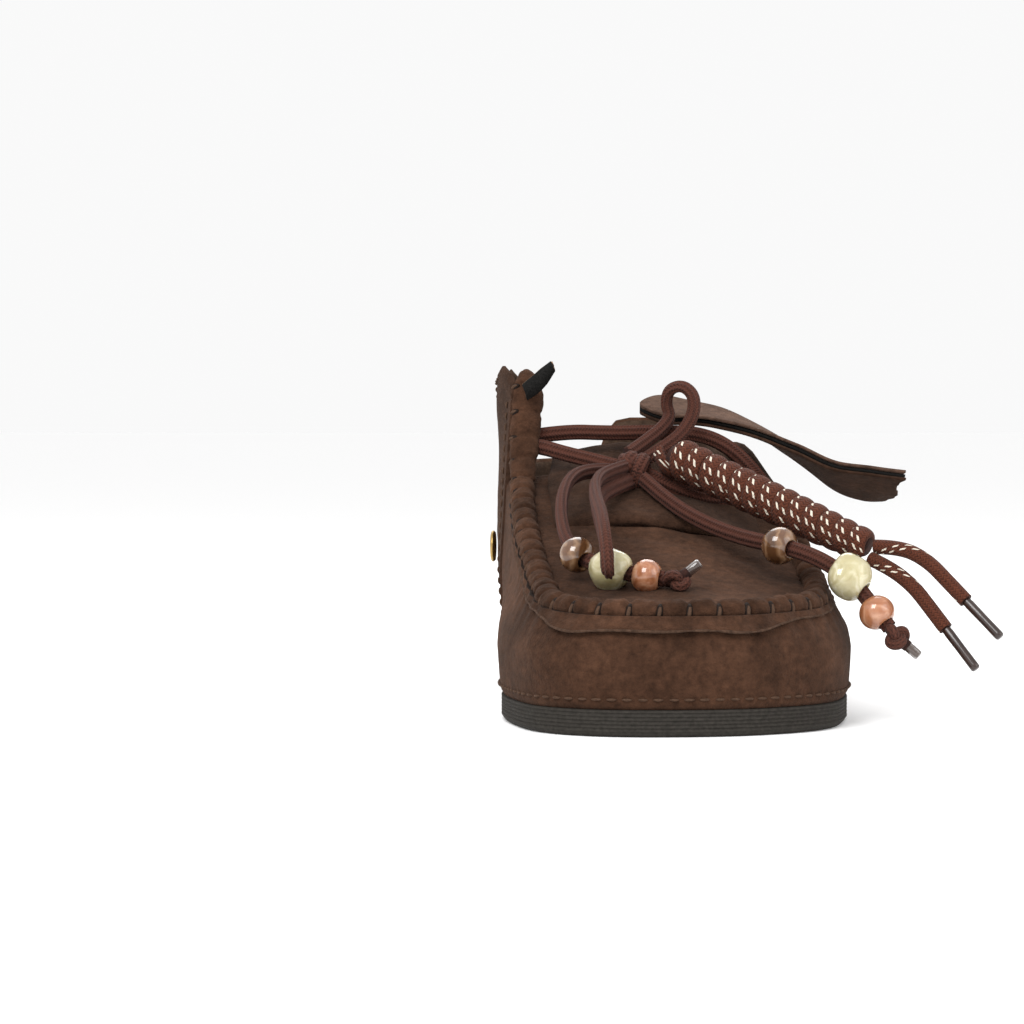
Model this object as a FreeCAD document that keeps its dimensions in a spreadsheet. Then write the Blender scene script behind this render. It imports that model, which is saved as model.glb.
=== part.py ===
"""A laced suede moccasin with a puckered toe seam, beads on its lace ends and a bundle of spare lace.

Frame: millimetres, +Z up, toe towards -Y, heel towards +Y, medial side towards -X.
The origin is on the flat underside of the outsole, at mid-length.
"""
import FreeCAD, Part
import math
import os

from FreeCAD import Vector

os.makedirs("parts", exist_ok=True)
doc = FreeCAD.newDocument("moccasin")

# ---------------------------------------------------------------- driving dimensions
SIZES = [
    ("outsole_thickness", 7.5),
    ("insole_board_thickness", 2.0),
    ("footbed_thickness", 3.5),
    ("upper_thickness", 2.8),
    ("counter_thickness", 0.8),
    ("lining_thickness", 1.0),
    ("apron_thickness", 2.0),
    ("tongue_thickness", 2.0),
    ("roll_height", 6.0),
    ("roll_width", 8.0),
    ("lip_thickness", 1.6),
    ("lip_height", 8.0),
    ("quarter_seam_y", -4.0),
    ("heel_seam_y", 96.0),
    ("stitch_pitch", 8.0),
    ("stitch_width", 1.6),
    ("strap_layer", 1.2),
    ("lace_diameter", 4.3),
    ("knot_radius", 5.5),
    ("end_bead_bore", 5.2),
    ("aglet_diameter", 2.8),
    ("aglet_length", 15.0),
    ("tip_diameter", 3.0),
    ("tip_length", 4.5),
    ("stopper_radius", 4.0),
    ("bundle_start_radius", 6.6),
    ("bundle_end_radius", 5.2),
    ("eyelet_outer_radius", 5.0),
    ("eyelet_hole_radius", 2.6),
    ("eyelet_flange", 0.8),
]

sheet = doc.addObject("Spreadsheet::Sheet", "sizes")
for row, (alias, value) in enumerate(SIZES, start=1):
    sheet.set("A%d" % row, alias)
    sheet.set("B%d" % row, str(value))
    sheet.setAlias("B%d" % row, alias)
doc.recompute()


def size(alias):
    """The value of a driving dimension, in millimetres."""
    return float(sheet.get(alias))


SOLE_TOP = size("outsole_thickness")
BOARD_TOP = SOLE_TOP + size("insole_board_thickness")
FOOTBED_TOP = BOARD_TOP + size("footbed_thickness")

# ---------------------------------------------------------------- outlines of the last
# Each outline runs from the toe tip round the medial side, the heel and the lateral side.
SOLE_OUTLINE = [
    (-6, -134), (-28, -130), (-43, -115), (-49, -88), (-49.5, -60),
    (-43, -20), (-36, 20), (-33, 65), (-33, 105), (-22, 128),
    (0, 135), (22, 128), (33.5, 105), (34, 65), (39, 25),
    (46, -15), (51, -55), (48.5, -85), (39, -112), (18, -129),
]
BULGE_OUTLINE = [
    (-6, -134), (-29, -130), (-44.5, -115), (-50.5, -88), (-51, -60),
    (-47, -20), (-42, 20), (-36, 65), (-34.5, 105), (-23, 128.5),
    (0, 136), (23, 128.5), (35, 105), (36, 65), (41, 25),
    (48, -15), (52.5, -55), (50, -85), (40, -112), (18, -129.5),
]
SHOULDER_OUTLINE = [
    (-5, -125), (-24, -121), (-36, -107), (-42, -85), (-45, -60),
    (-47, -20), (-45, 20), (-37, 65), (-34.5, 105), (-23, 127.5),
    (0, 134), (23, 127.5), (34, 105), (35.5, 65), (41, 25),
    (45, -15), (45, -50), (41.5, -80), (33, -104), (15, -121),
]
MOUTH_OUTLINE = [
    (-4, -96), (-18, -92), (-28, -80), (-36, -58), (-41, -35),
    (-39.5, -8), (-46, 18), (-38, 65), (-32.5, 102), (-21, 121),
    (0, 127), (20, 121), (30, 102), (32, 65), (36, 25),
    (38, -8), (36, -33), (31, -56), (24, -78), (10, -92),
]
BULGE_HEIGHT = 29.0
SHOULDER_HEIGHT = 37.0
MOUTH_HEIGHT = 112.0

# Height of the toe seam's surface: (y, height on the centreline, how much higher the medial side is).
SEAM_SURFACE = [
    (-150, 31.5, 0.0), (-122, 32.5, 0.0), (-105, 33.5, 0.5), (-85, 36.5, 1.5),
    (-60, 43.0, 4.0), (-35, 51.5, 5.0), (-10, 61.5, 4.5), (20, 73.5, 3.5),
]
SEAM_SPAN = 45.0
SIDE_REACH = 90.0

# Top edges of the quarters and of the heel piece.
MEDIAL_COLLAR = [(-6, 94), (2, 101), (11, 104), (22, 102), (36, 89), (56, 78), (78, 73), (98, 74)]
LATERAL_COLLAR = [(-6, 63), (6, 66), (20, 71), (36, 77), (56, 80), (78, 79), (98, 78)]
HEEL_TAB = [(-45, 73), (-22, 75), (-8, 80), (4, 87), (14, 88), (24, 83), (45, 77)]


def inset(points, distance):
    """An outline moved inwards by a distance, or outwards by a negative one."""
    moved = []
    count = len(points)
    for index, (x, y) in enumerate(points):
        before = points[index - 1]
        after = points[(index + 1) % count]
        along = Vector(after[0] - before[0], after[1] - before[1], 0).normalize()
        moved.append((x + along.y * distance, y - along.x * distance))
    return moved


def closed_wire(points, height):
    curve = Part.BSplineCurve()
    curve.interpolate([Vector(x, y, height) for x, y in points], PeriodicFlag=True)
    return Part.Wire([curve.toShape()])


def outline_prism(points, bottom, top):
    """A straight-sided plate of an outline, between two heights."""
    face = Part.Face(closed_wire(points, bottom))
    return face.extrude(Vector(0, 0, top - bottom))


def last_solid(distance):
    """The foot-shaped solid that the upper wraps, inset from its outer surface by a distance."""
    sections = [
        (SOLE_OUTLINE, SOLE_TOP, 0.6),
        (BULGE_OUTLINE, BULGE_HEIGHT, 0.0),
        (SHOULDER_OUTLINE, SHOULDER_HEIGHT, 0.0),
        (MOUTH_OUTLINE, MOUTH_HEIGHT, 0.0),
    ]
    wires = [closed_wire(inset(points, distance + extra), height) for points, height, extra in sections]
    return Part.makeLoft(wires, True, True)


def seam_face_edge(side, lift):
    """The seam surface's line at one side of the shoe, raised by lift."""
    points = []
    for y, height, rise in SEAM_SURFACE:
        points.append(Vector(side * SIDE_REACH, y, height + lift - side * rise * SIDE_REACH / SEAM_SPAN))
    curve = Part.BSplineCurve()
    curve.interpolate(points)
    return curve.toShape()


def seam_surface(lift):
    """The surface that the toe seam lies on, raised by lift."""
    return Part.makeRuledSurface(seam_face_edge(-1, lift), seam_face_edge(1, lift))


def seam_band(low, high, front, back):
    """The space between two copies of the seam surface, between two places along the shoe."""
    band = seam_surface(low).extrude(Vector(0, 0, high - low))
    reach = 2 * SIDE_REACH
    cut = Part.makeBox(reach, back - front, 2 * MOUTH_HEIGHT, Vector(-SIDE_REACH, front, -MOUTH_HEIGHT / 2))
    return band.common(cut)


def side_prism(profile, side, front, back):
    """The space on one side of the shoe under a collar profile."""
    points = [Vector(0, y, z) for y, z in profile]
    top = Part.BSplineCurve()
    top.interpolate(points)
    first, last = points[0], points[-1]
    low_first = Vector(0, first.y, 0)
    low_last = Vector(0, last.y, 0)
    edges = [
        top.toShape(),
        Part.makeLine(last, low_last),
        Part.makeLine(low_last, low_first),
        Part.makeLine(low_first, first),
    ]
    face = Part.Face(Part.Wire(Part.__sortEdges__(edges)))
    solid = face.extrude(Vector(side * SIDE_REACH, 0, 0))
    cut = Part.makeBox(2 * SIDE_REACH, back - front, 2 * MOUTH_HEIGHT, Vector(-SIDE_REACH, front, 0))
    return solid.common(cut)


def heel_prism(front):
    """The space at the heel under the heel tab's top edge."""
    points = [Vector(x, front, z) for x, z in HEEL_TAB]
    top = Part.BSplineCurve()
    top.interpolate(points)
    first, last = points[0], points[-1]
    low_first = Vector(first.x, front, 0)
    low_last = Vector(last.x, front, 0)
    edges = [
        top.toShape(),
        Part.makeLine(last, low_last),
        Part.makeLine(low_last, low_first),
        Part.makeLine(low_first, first),
    ]
    face = Part.Face(Part.Wire(Part.__sortEdges__(edges)))
    return face.extrude(Vector(0, SIDE_REACH, 0))


nodes = []


def add_shape(label, shape):
    """A sub-part whose shape is worked out from the sheet's sizes."""
    solids = shape.Solids
    if len(solids) == 1:
        shape = solids[0]
    piece = doc.addObject("Part::Feature", label)
    piece.Shape = shape
    piece.Label = label
    piece.Placement = FreeCAD.Placement()
    nodes.append(piece)
    return piece


# ---------------------------------------------------------------- sole
add_shape("outsole", outline_prism(SOLE_OUTLINE, 0, SOLE_TOP))
inner_wall = size("upper_thickness") + size("lining_thickness")
BOARD_CLEARANCE = 0.4
bed_outline = inset(SOLE_OUTLINE, inner_wall + 0.6 + BOARD_CLEARANCE)
add_shape("insole_board", outline_prism(bed_outline, SOLE_TOP, BOARD_TOP))
add_shape("footbed", outline_prism(bed_outline, BOARD_TOP, FOOTBED_TOP))

# ---------------------------------------------------------------- upper
outer = last_solid(0)
upper_inner = last_solid(size("upper_thickness"))
lining_inner = last_solid(inner_wall)
counter_outer = last_solid(size("upper_thickness") - size("counter_thickness"))
shell = outer.cut(upper_inner)
seam_y = size("quarter_seam_y")
heel_y = size("heel_seam_y")
FRONT_END = -150.0
BACK_END = 150.0
COUNTER_TOP = 52.0
COUNTER_FRONT = 100.0

vamp_space = seam_band(-60, 0, FRONT_END, seam_y)
add_shape("vamp", shell.common(vamp_space))

medial_space = side_prism(MEDIAL_COLLAR, -1, seam_y, heel_y)
lateral_space = side_prism(LATERAL_COLLAR, 1, seam_y, heel_y)
heel_space = heel_prism(heel_y)
add_shape("medial_quarter", shell.common(medial_space))
add_shape("lateral_quarter", shell.common(lateral_space))

counter_box = Part.makeBox(
    2 * SIDE_REACH, BACK_END - COUNTER_FRONT, COUNTER_TOP - FOOTBED_TOP,
    Vector(-SIDE_REACH, COUNTER_FRONT, FOOTBED_TOP))
counter = counter_outer.cut(upper_inner).common(counter_box)
add_shape("heel_piece", shell.common(heel_space).cut(counter))
add_shape("heel_counter", counter)

lining_shell = upper_inner.cut(lining_inner)
add_shape("vamp_lining", lining_shell.common(seam_band(-60, -size("apron_thickness"), FRONT_END, seam_y)))
quarter_lining = lining_shell.common(medial_space)
quarter_lining = quarter_lining.fuse(lining_shell.common(lateral_space))
quarter_lining = quarter_lining.fuse(lining_shell.common(heel_space))
add_shape("quarter_lining", quarter_lining)

# ---------------------------------------------------------------- apron, toe seam and tongue
apron_band = seam_band(-size("apron_thickness"), 0, FRONT_END, seam_y)
add_shape("apron", upper_inner.common(apron_band))

ROLL_OVERHANG = 1.0
roll_outer = last_solid(-ROLL_OVERHANG)
roll_inner = last_solid(size("roll_width") - ROLL_OVERHANG)
roll_band = seam_band(0, size("roll_height"), FRONT_END, seam_y)
roll = roll_outer.cut(roll_inner).common(roll_band)
add_shape("moc_roll", roll)

LIP_BACK = -62.0
lip_outer = last_solid(-size("lip_thickness"))
lip = lip_outer.cut(outer).common(seam_band(-size("lip_height"), -0.5, FRONT_END, LIP_BACK))
add_shape("seam_lip", lip)

TONGUE_FRONT = -42.0
TONGUE_BACK = 12.0
TONGUE_INSET = 12.5
TONGUE_LIFT = 0.1
tongue_band = seam_band(TONGUE_LIFT, TONGUE_LIFT + size("tongue_thickness"), TONGUE_FRONT, TONGUE_BACK)
add_shape("tongue", last_solid(TONGUE_INSET).common(tongue_band))


# ---------------------------------------------------------------- whip stitches over the toe roll
STITCH_REACH = 1.4
STITCH_HEIGHT = 4.4
STITCH_BACK = -8.0
stitch_edges = roll_outer.section(seam_surface(size("roll_height") / 2)).Edges
stitch_line = Part.Wire(Part.__sortEdges__(stitch_edges))
places = stitch_line.discretize(Distance=size("stitch_pitch"))
stitches = []
for before, place, after in zip(places, places[1:], places[2:]):
    if place.y > STITCH_BACK:
        continue
    along = after - before
    width = size("stitch_width")
    corner = Vector(-width / 2, -STITCH_REACH, -STITCH_HEIGHT / 2)
    block = Part.makeBox(width, 2 * STITCH_REACH, STITCH_HEIGHT, corner)
    block.rotate(Vector(0, 0, 0), Vector(0, 0, 1), math.degrees(math.atan2(along.y, along.x)))
    block.translate(place)
    outside = block.cut(roll)
    stitches.append(max(outside.Solids, key=lambda solid: solid.Volume))
add_shape("whip_stitches", Part.makeCompound(stitches))


# ---------------------------------------------------------------- flaps and strap
def layered_sheet(stations, low, high):
    """A twisted sheet between two offsets from its middle surface; a station is its two edge points."""
    wires = []
    for index, (near, far) in enumerate(stations):
        before = stations[max(index - 1, 0)]
        after = stations[min(index + 1, len(stations) - 1)]
        along = (after[0] + after[1]) - (before[0] + before[1])
        across = far - near
        normal = along.cross(across).normalize()
        corners = [near + normal * low, far + normal * low, far + normal * high, near + normal * high]
        wires.append(Part.makePolygon(corners + [corners[0]]))
    return Part.makeLoft(wires, True, True)


STRAP_ROOT = [
    (Vector(1, 25, 88), Vector(2, 39, 93)),
    (Vector(7, 20, 87), Vector(8, 43, 94)),
    (Vector(22, 12, 86), Vector(23, 37, 90)),
    (Vector(35, 4, 83), Vector(36, 29, 84.5)),
]
STRAP_FREE = [
    (Vector(35.6, 3.7, 82.8), Vector(36.6, 28.7, 84.2)),
    (Vector(45, -3, 78.5), Vector(46, 21, 77.5)),
    (Vector(57, -10, 73), Vector(58, 13, 67)),
    (Vector(68, -13, 71), Vector(68, 10, 63.5)),
    (Vector(77, -13, 70), Vector(75, 9, 63)),
]
layer = size("strap_layer")
STRAP_LAYERS = [("lower_suede", -1.5, -0.5), ("core", -0.5, 0.5), ("upper_suede", 0.5, 1.5)]
for layer_name, low, high in STRAP_LAYERS:
    add_shape("strap_%s_root" % layer_name, layered_sheet(STRAP_ROOT, low * layer, high * layer))
    add_shape("strap_%s_free" % layer_name, layered_sheet(STRAP_FREE, low * layer, high * layer))

EAR = [
    (Vector(-41.5, -4.75, 88), Vector(-41.5, -4.75, 96)),
    (Vector(-37, -4.75, 92), Vector(-37.5, -4.75, 101.5)),
    (Vector(-33, -5.5, 96), Vector(-34, -5.5, 104)),
    (Vector(-29.5, -7, 101.5), Vector(-30.5, -7, 105.5)),
]
add_shape("medial_ear", layered_sheet(EAR, -0.7, 0.7))


# ---------------------------------------------------------------- brass eyelets
def eyelet(label, centre, direction):
    """A flanged brass ring, bound to the sheet, on the outside of a quarter."""
    ring = doc.addObject("Part::Cylinder", label + "_ring")
    ring.setExpression("Radius", "sizes.eyelet_outer_radius")
    ring.setExpression("Height", "sizes.eyelet_flange")
    hole = doc.addObject("Part::Cylinder", label + "_hole")
    hole.setExpression("Radius", "sizes.eyelet_hole_radius")
    hole.setExpression("Height", "sizes.eyelet_flange")
    cut = doc.addObject("Part::Cut", label)
    cut.Base = ring
    cut.Tool = hole
    cut.Label = label
    cut.Placement = FreeCAD.Placement(centre, FreeCAD.Rotation(Vector(0, 0, 1), direction))
    nodes.append(cut)


eyelet("medial_side_eyelet", Vector(-46.6, 32, 47), Vector(-1, 0.13, 0.0))
eyelet("lateral_side_eyelet", Vector(41.2, 32, 47), Vector(1, 0.1, 0.08))

# ---------------------------------------------------------------- laces
LACE = size("lace_diameter")
KNOT_CENTRE = Vector(-7, -20, 72)


def cord_wire(points, label):
    """Straight runs joined by arcs that are as large as the runs allow."""
    edges = []
    start = points[0]
    radii = []
    for before, corner, after in zip(points, points[1:], points[2:]):
        toward = (before - corner).normalize()
        away = (after - corner).normalize()
        turn = math.pi - toward.getAngle(away)
        tangent = 0.45 * min((before - corner).Length, (after - corner).Length)
        radius = tangent / math.tan(turn / 2)
        radii.append(radius)
        arc_start = corner + toward * tangent
        arc_end = corner + away * tangent
        bisector = (toward + away).normalize()
        middle = corner + bisector * (radius / math.cos(turn / 2) - radius)
        edges.append(Part.LineSegment(start, arc_start).toShape())
        edges.append(Part.Arc(arc_start, middle, arc_end).toShape())
        start = arc_end
    edges.append(Part.LineSegment(start, points[-1]).toShape())
    wire = Part.Wire(edges)
    print(label, "length %.1f" % wire.Length, "radii", ["%.1f" % radius for radius in radii])
    return wire


def cord_tube(label, route, diameter):
    """A round cord along a route of hand-placed points."""
    points = [Vector(*point) for point in route]
    wire = cord_wire(points, label)
    first = wire.Edges[0]
    direction = first.tangentAt(first.FirstParameter)
    profile = Part.Wire([Part.Circle(points[0], direction, diameter / 2).toShape()])
    tube = wire.makePipeShell([profile], True, False)
    expected = math.pi * diameter ** 2 / 4 * wire.Length
    print(label, "volume %.0f of %.0f" % (tube.Volume, expected))
    add_shape(label, tube)
    return tube


LACE_BAR = [
    (-38, 1, 82), (-27, 1.5, 83.6), (-12, 2, 83), (4, 2, 83.4), (18, 2.2, 82.6), (29, 4, 76), (35.5, 7, 68),
]
STRAND_MEDIAL = [(-37.5, -7, 79.5), (-28, -8.5, 77), (-20, -12, 75), (-12.6, -16.8, 73)]
STRAND_LATERAL = [(-1.8, -21.2, 69.8), (8, -23.2, 64.6), (19, -22, 62.4), (28, -15, 65), (33, -7, 67.5)]
LOOP_BACK = [
    (-5, -14.8, 73.8), (3, -9, 79), (10, -5, 84.5), (13.8, -3.8, 90.5), (14.1, -3.5, 96.8), (10.1, -3, 100.1),
    (5.2, -2.5, 98.3), (4, -2.2, 92.5), (1, -3, 87.5), (-4, -9, 82.5), (-8.3, -15.4, 76.6),
]
LOOP_FRONT = [
    (-10.5, -25.5, 72.5), (-17, -36, 71), (-21, -49, 68.5), (-22.5, -63, 65.5),
    (-23, -77, 63), (-23, -89, 61.2),
    (-23, -98.4, 60.5), (-22.8, -102.3, 56.4), (-22.4, -100.2, 51.9), (-21.8, -91, 53.6), (-20.6, -77, 57.2),
    (-18.5, -62, 60.6), (-16.5, -48, 63.8), (-13, -35, 66), (-8.6, -24.6, 67.4),
]
END_MEDIAL = [
    (-13.4, -21.5, 71.5), (-21, -29, 72), (-28, -41, 70), (-31.5, -54, 64.5),
    (-32.5, -66, 57.5), (-31.5, -76, 51.5),
    (-28, -84.5, 47.6), (-20.4, -90.4, 44.4), (-11.5, -93.8, 42.8), (-5.2, -95.5, 41.9),
]
END_LATERAL = [
    (-4.5, -25.7, 69.2), (2, -37, 62.5), (11, -50, 56.5), (21, -62, 52.5), (31, -74.5, 50.6), (41, -84, 47.3),
    (49.5, -91, 41), (55, -95, 33.4), (58.9, -97.6, 28),
]
SPARE_END_UPPER = [(57.6, -80.6, 50.4), (64, -85, 50.5), (71, -90, 47), (77, -95, 40), (80.8, -98, 35.6)]
SPARE_END_LOWER = [(56, -81.5, 47), (61, -86, 44.5), (67, -90, 39.5), (71.5, -94, 33), (75.2, -97, 27.6)]
BUNDLE_START = Vector(4, -22, 76.6)
BUNDLE_END = Vector(56.6, -79.6, 49.6)

knot = doc.addObject("Part::Sphere", "bow_knot")
knot.setExpression("Radius", "sizes.knot_radius")
knot.Label = "bow_knot"
knot.Placement = FreeCAD.Placement(KNOT_CENTRE, FreeCAD.Rotation())
nodes.append(knot)

cord_tube("lace_bar", LACE_BAR, LACE)
cord_tube("lace_strand_medial", STRAND_MEDIAL, LACE)
cord_tube("lace_strand_lateral", STRAND_LATERAL, LACE)
cord_tube("bow_loop_back", LOOP_BACK, LACE)
cord_tube("bow_loop_front", LOOP_FRONT, LACE)
end_medial = cord_tube("lace_end_medial", END_MEDIAL, LACE)
end_lateral = cord_tube("lace_end_lateral", END_LATERAL, LACE)
cord_tube("spare_lace_end_upper", SPARE_END_UPPER, LACE)
cord_tube("spare_lace_end_lower", SPARE_END_LOWER, LACE)

bundle_axis = BUNDLE_END - BUNDLE_START
bundle = doc.addObject("Part::Cone", "spare_lace_bundle")
bundle.setExpression("Radius1", "sizes.bundle_start_radius")
bundle.setExpression("Radius2", "sizes.bundle_end_radius")
bundle.Height = bundle_axis.Length
bundle.Label = "spare_lace_bundle"
bundle.Placement = FreeCAD.Placement(BUNDLE_START, FreeCAD.Rotation(Vector(0, 0, 1), bundle_axis))
nodes.append(bundle)


# ---------------------------------------------------------------- beads, stopper knots, tips and aglets
def bead(label, centre, radius, cord):
    """A round bead, threaded on the lace."""
    add_shape(label, Part.makeSphere(radius, Vector(*centre)).cut(cord))


def end_bead(label, centre, radius, route):
    """A round bead next to the stopper knot, with a straight bore along the end of the lace."""
    last, previous = Vector(*route[-1]), Vector(*route[-2])
    direction = (last - previous).normalize()
    start = last - direction * (3 * radius)
    bore = Part.makeCylinder(size("end_bead_bore") / 2, 4 * radius, start, direction)
    add_shape(label, Part.makeSphere(radius, Vector(*centre), direction).cut(bore))


bead("bead_brown_medial", (-29.2, -83, 48.3), 5.3, end_medial)
bead("bead_cream_medial", (-20.4, -90.4, 44.4), 6.4, end_medial)
end_bead("bead_peach_medial", (-10.2, -94.2, 42.6), 5.0, END_MEDIAL)
bead("bead_brown_lateral", (30.5, -74.5, 50.6), 5.5, end_lateral)
bead("bead_cream_lateral", (48.6, -90.2, 42), 6.6, end_lateral)
end_bead("bead_peach_lateral", (55.6, -95.6, 32.2), 5.2, END_LATERAL)


def end_piece(label, route, diameter_alias, length_alias):
    """A round tip that carries on in line from the end of a cord."""
    last, previous = Vector(*route[-1]), Vector(*route[-2])
    tip = doc.addObject("Part::Cylinder", label)
    tip.setExpression("Radius", "sizes.%s / 2" % diameter_alias)
    tip.setExpression("Height", "sizes.%s" % length_alias)
    tip.Label = label
    tip.Placement = FreeCAD.Placement(last, FreeCAD.Rotation(Vector(0, 0, 1), last - previous))
    nodes.append(tip)


end_piece("aglet_upper", SPARE_END_UPPER, "aglet_diameter", "aglet_length")
end_piece("aglet_lower", SPARE_END_LOWER, "aglet_diameter", "aglet_length")


STOPPER_BITE = 0.6


def stopper(label, route, tip_label, tip_direction):
    """An overhand knot at the end of a lace, with its clear tip standing out of it."""
    last, previous = Vector(*route[-1]), Vector(*route[-2])
    radius = size("stopper_radius")
    centre = last + (last - previous).normalize() * (radius - STOPPER_BITE)
    knot_ball = doc.addObject("Part::Sphere", label)
    knot_ball.setExpression("Radius", "sizes.stopper_radius")
    knot_ball.Label = label
    knot_ball.Placement = FreeCAD.Placement(centre, FreeCAD.Rotation())
    nodes.append(knot_ball)
    tip = doc.addObject("Part::Cylinder", tip_label)
    tip.setExpression("Radius", "sizes.tip_diameter / 2")
    tip.setExpression("Height", "sizes.tip_length")
    tip.Label = tip_label
    direction = Vector(*tip_direction).normalize()
    turn = FreeCAD.Rotation(Vector(0, 0, 1), direction)
    tip.Placement = FreeCAD.Placement(centre + direction * radius, turn)
    nodes.append(tip)


stopper("stopper_knot_medial", END_MEDIAL, "lace_tip_medial", (0.8, 0.0, 0.6))
stopper("stopper_knot_lateral", END_LATERAL, "lace_tip_lateral", (0.75, -0.1, -0.65))

# ---------------------------------------------------------------- checks and export
doc.recompute()
for item in doc.Objects:
    if "Invalid" in item.State or "Error" in item.State:
        raise RuntimeError("failed object: " + item.Name)
for piece in nodes:
    if piece.Shape.isNull() or not piece.Shape.isValid():
        raise RuntimeError("bad shape: " + piece.Label)
for piece in nodes:
    piece.Shape.exportStep("parts/%s.step" % piece.Label)
print(len(nodes), "nodes")
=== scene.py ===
"""Looks of a laced suede moccasin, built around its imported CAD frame. Lengths in the code are millimetres."""
import math

import bpy
import numpy as np
from mathutils import Matrix, Vector


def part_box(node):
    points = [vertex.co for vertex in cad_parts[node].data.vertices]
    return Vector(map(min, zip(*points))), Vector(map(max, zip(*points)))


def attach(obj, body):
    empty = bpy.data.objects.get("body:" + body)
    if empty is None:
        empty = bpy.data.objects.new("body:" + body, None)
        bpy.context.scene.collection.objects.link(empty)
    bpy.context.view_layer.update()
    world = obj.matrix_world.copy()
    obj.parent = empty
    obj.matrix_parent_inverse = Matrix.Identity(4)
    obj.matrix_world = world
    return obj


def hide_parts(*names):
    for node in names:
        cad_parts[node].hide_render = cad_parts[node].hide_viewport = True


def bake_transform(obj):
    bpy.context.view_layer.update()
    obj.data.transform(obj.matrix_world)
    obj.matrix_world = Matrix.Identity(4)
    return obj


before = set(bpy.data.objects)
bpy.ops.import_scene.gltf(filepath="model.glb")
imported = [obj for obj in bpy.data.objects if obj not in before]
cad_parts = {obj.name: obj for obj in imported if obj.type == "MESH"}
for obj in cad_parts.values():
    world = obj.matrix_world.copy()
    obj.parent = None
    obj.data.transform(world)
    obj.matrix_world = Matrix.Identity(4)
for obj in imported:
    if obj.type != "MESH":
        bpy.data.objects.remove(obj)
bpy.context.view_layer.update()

MM = 0.001
SPARE_WRAP = 6.4

# ---------------------------------------------------------------- camera, floor and light
CAMERA_PLACE = (-111.8, -1127.5, 87.1)
CAMERA_FORWARD = (0.06103, 0.99782, -0.0252)
FOCAL_LENGTH = 128.3
SENSOR_WIDTH = 36.0
SHOE_MIDDLE = (0, -0.03, 0.04)
HEEL_MIDDLE = (0, 0, 0.06)
STUDIO_GLOW = 0.95

camera_data = bpy.data.cameras.new("camera")
camera_data.lens = FOCAL_LENGTH
camera_data.sensor_width = SENSOR_WIDTH
camera_data.clip_end = 60.0
camera = bpy.data.objects.new("camera", camera_data)
camera.location = Vector(CAMERA_PLACE) * MM
camera.rotation_euler = Vector(CAMERA_FORWARD).to_track_quat("-Z", "Y").to_euler()
bpy.context.collection.objects.link(camera)
bpy.context.scene.camera = camera


def area_light(name, place, target, side, power):
    data = bpy.data.lights.new(name, "AREA")
    data.shape = "RECTANGLE"
    data.size = side
    data.size_y = side
    data.energy = power
    light = bpy.data.objects.new(name, data)
    light.location = place
    light.rotation_euler = (Vector(target) - Vector(place)).to_track_quat("-Z", "Y").to_euler()
    bpy.context.collection.objects.link(light)


area_light("key_light", (-0.55, -0.9, 1.0), SHOE_MIDDLE, side=0.7, power=15.0)
area_light("fill_light", (0.9, -0.7, 0.55), SHOE_MIDDLE, side=0.8, power=4.0)
area_light("back_light", (0.1, 0.9, 0.9), HEEL_MIDDLE, side=0.8, power=5.0)

world = bpy.data.worlds.new("studio")
world.use_nodes = True
world.node_tree.nodes["Background"].inputs["Color"].default_value = (1.0, 1.0, 1.0, 1)
world.node_tree.nodes["Background"].inputs["Strength"].default_value = STUDIO_GLOW
bpy.context.scene.world = world
bpy.context.scene.view_settings.view_transform = "Standard"


# ---------------------------------------------------------------- materials
def new_material(name):
    material = bpy.data.materials.new(name)
    material.use_nodes = True
    tree = material.node_tree
    return material, tree, tree.nodes["Principled BSDF"]


def node(tree, kind, **values):
    made = tree.nodes.new(kind)
    for key, value in values.items():
        setattr(made, key, value)
    return made


def math_node(tree, operation, first, second=None, third=None):
    made = node(tree, "ShaderNodeMath", operation=operation)
    for slot_index, value in enumerate((first, second, third)):
        if value is None:
            continue
        if isinstance(value, (int, float)):
            made.inputs[slot_index].default_value = value
        else:
            tree.links.new(value, made.inputs[slot_index])
    return made.outputs[0]


def object_noise(tree, scale, detail=4.0, roughness=0.6, stretch=None):
    """A noise over the object's own coordinates, with scale in features per metre."""
    coordinates = node(tree, "ShaderNodeTexCoord").outputs["Object"]
    if stretch:
        mapping = node(tree, "ShaderNodeMapping")
        mapping.inputs["Scale"].default_value = stretch
        tree.links.new(coordinates, mapping.inputs["Vector"])
        coordinates = mapping.outputs[0]
    noise = node(tree, "ShaderNodeTexNoise")
    noise.inputs["Scale"].default_value = scale
    noise.inputs["Detail"].default_value = detail
    noise.inputs["Roughness"].default_value = roughness
    tree.links.new(coordinates, noise.inputs["Vector"])
    return noise.outputs[0]


def ramp(tree, factor, stops):
    made = node(tree, "ShaderNodeValToRGB")
    elements = made.color_ramp.elements
    while len(elements) < len(stops):
        elements.new(0.5)
    for element, (place, colour) in zip(elements, stops):
        element.position = place
        element.color = (*colour, 1)
    tree.links.new(factor, made.inputs[0])
    return made.outputs[0]


def mix_colour(tree, factor, first, second, kind="MIX"):
    made = node(tree, "ShaderNodeMix", data_type="RGBA", blend_type=kind)
    for socket, value in ((made.inputs[0], factor), (made.inputs[6], first), (made.inputs[7], second)):
        if isinstance(value, tuple):
            socket.default_value = (*value, 1)
        elif isinstance(value, (int, float)):
            socket.default_value = value
        else:
            tree.links.new(value, socket)
    return made.outputs[2]


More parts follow.
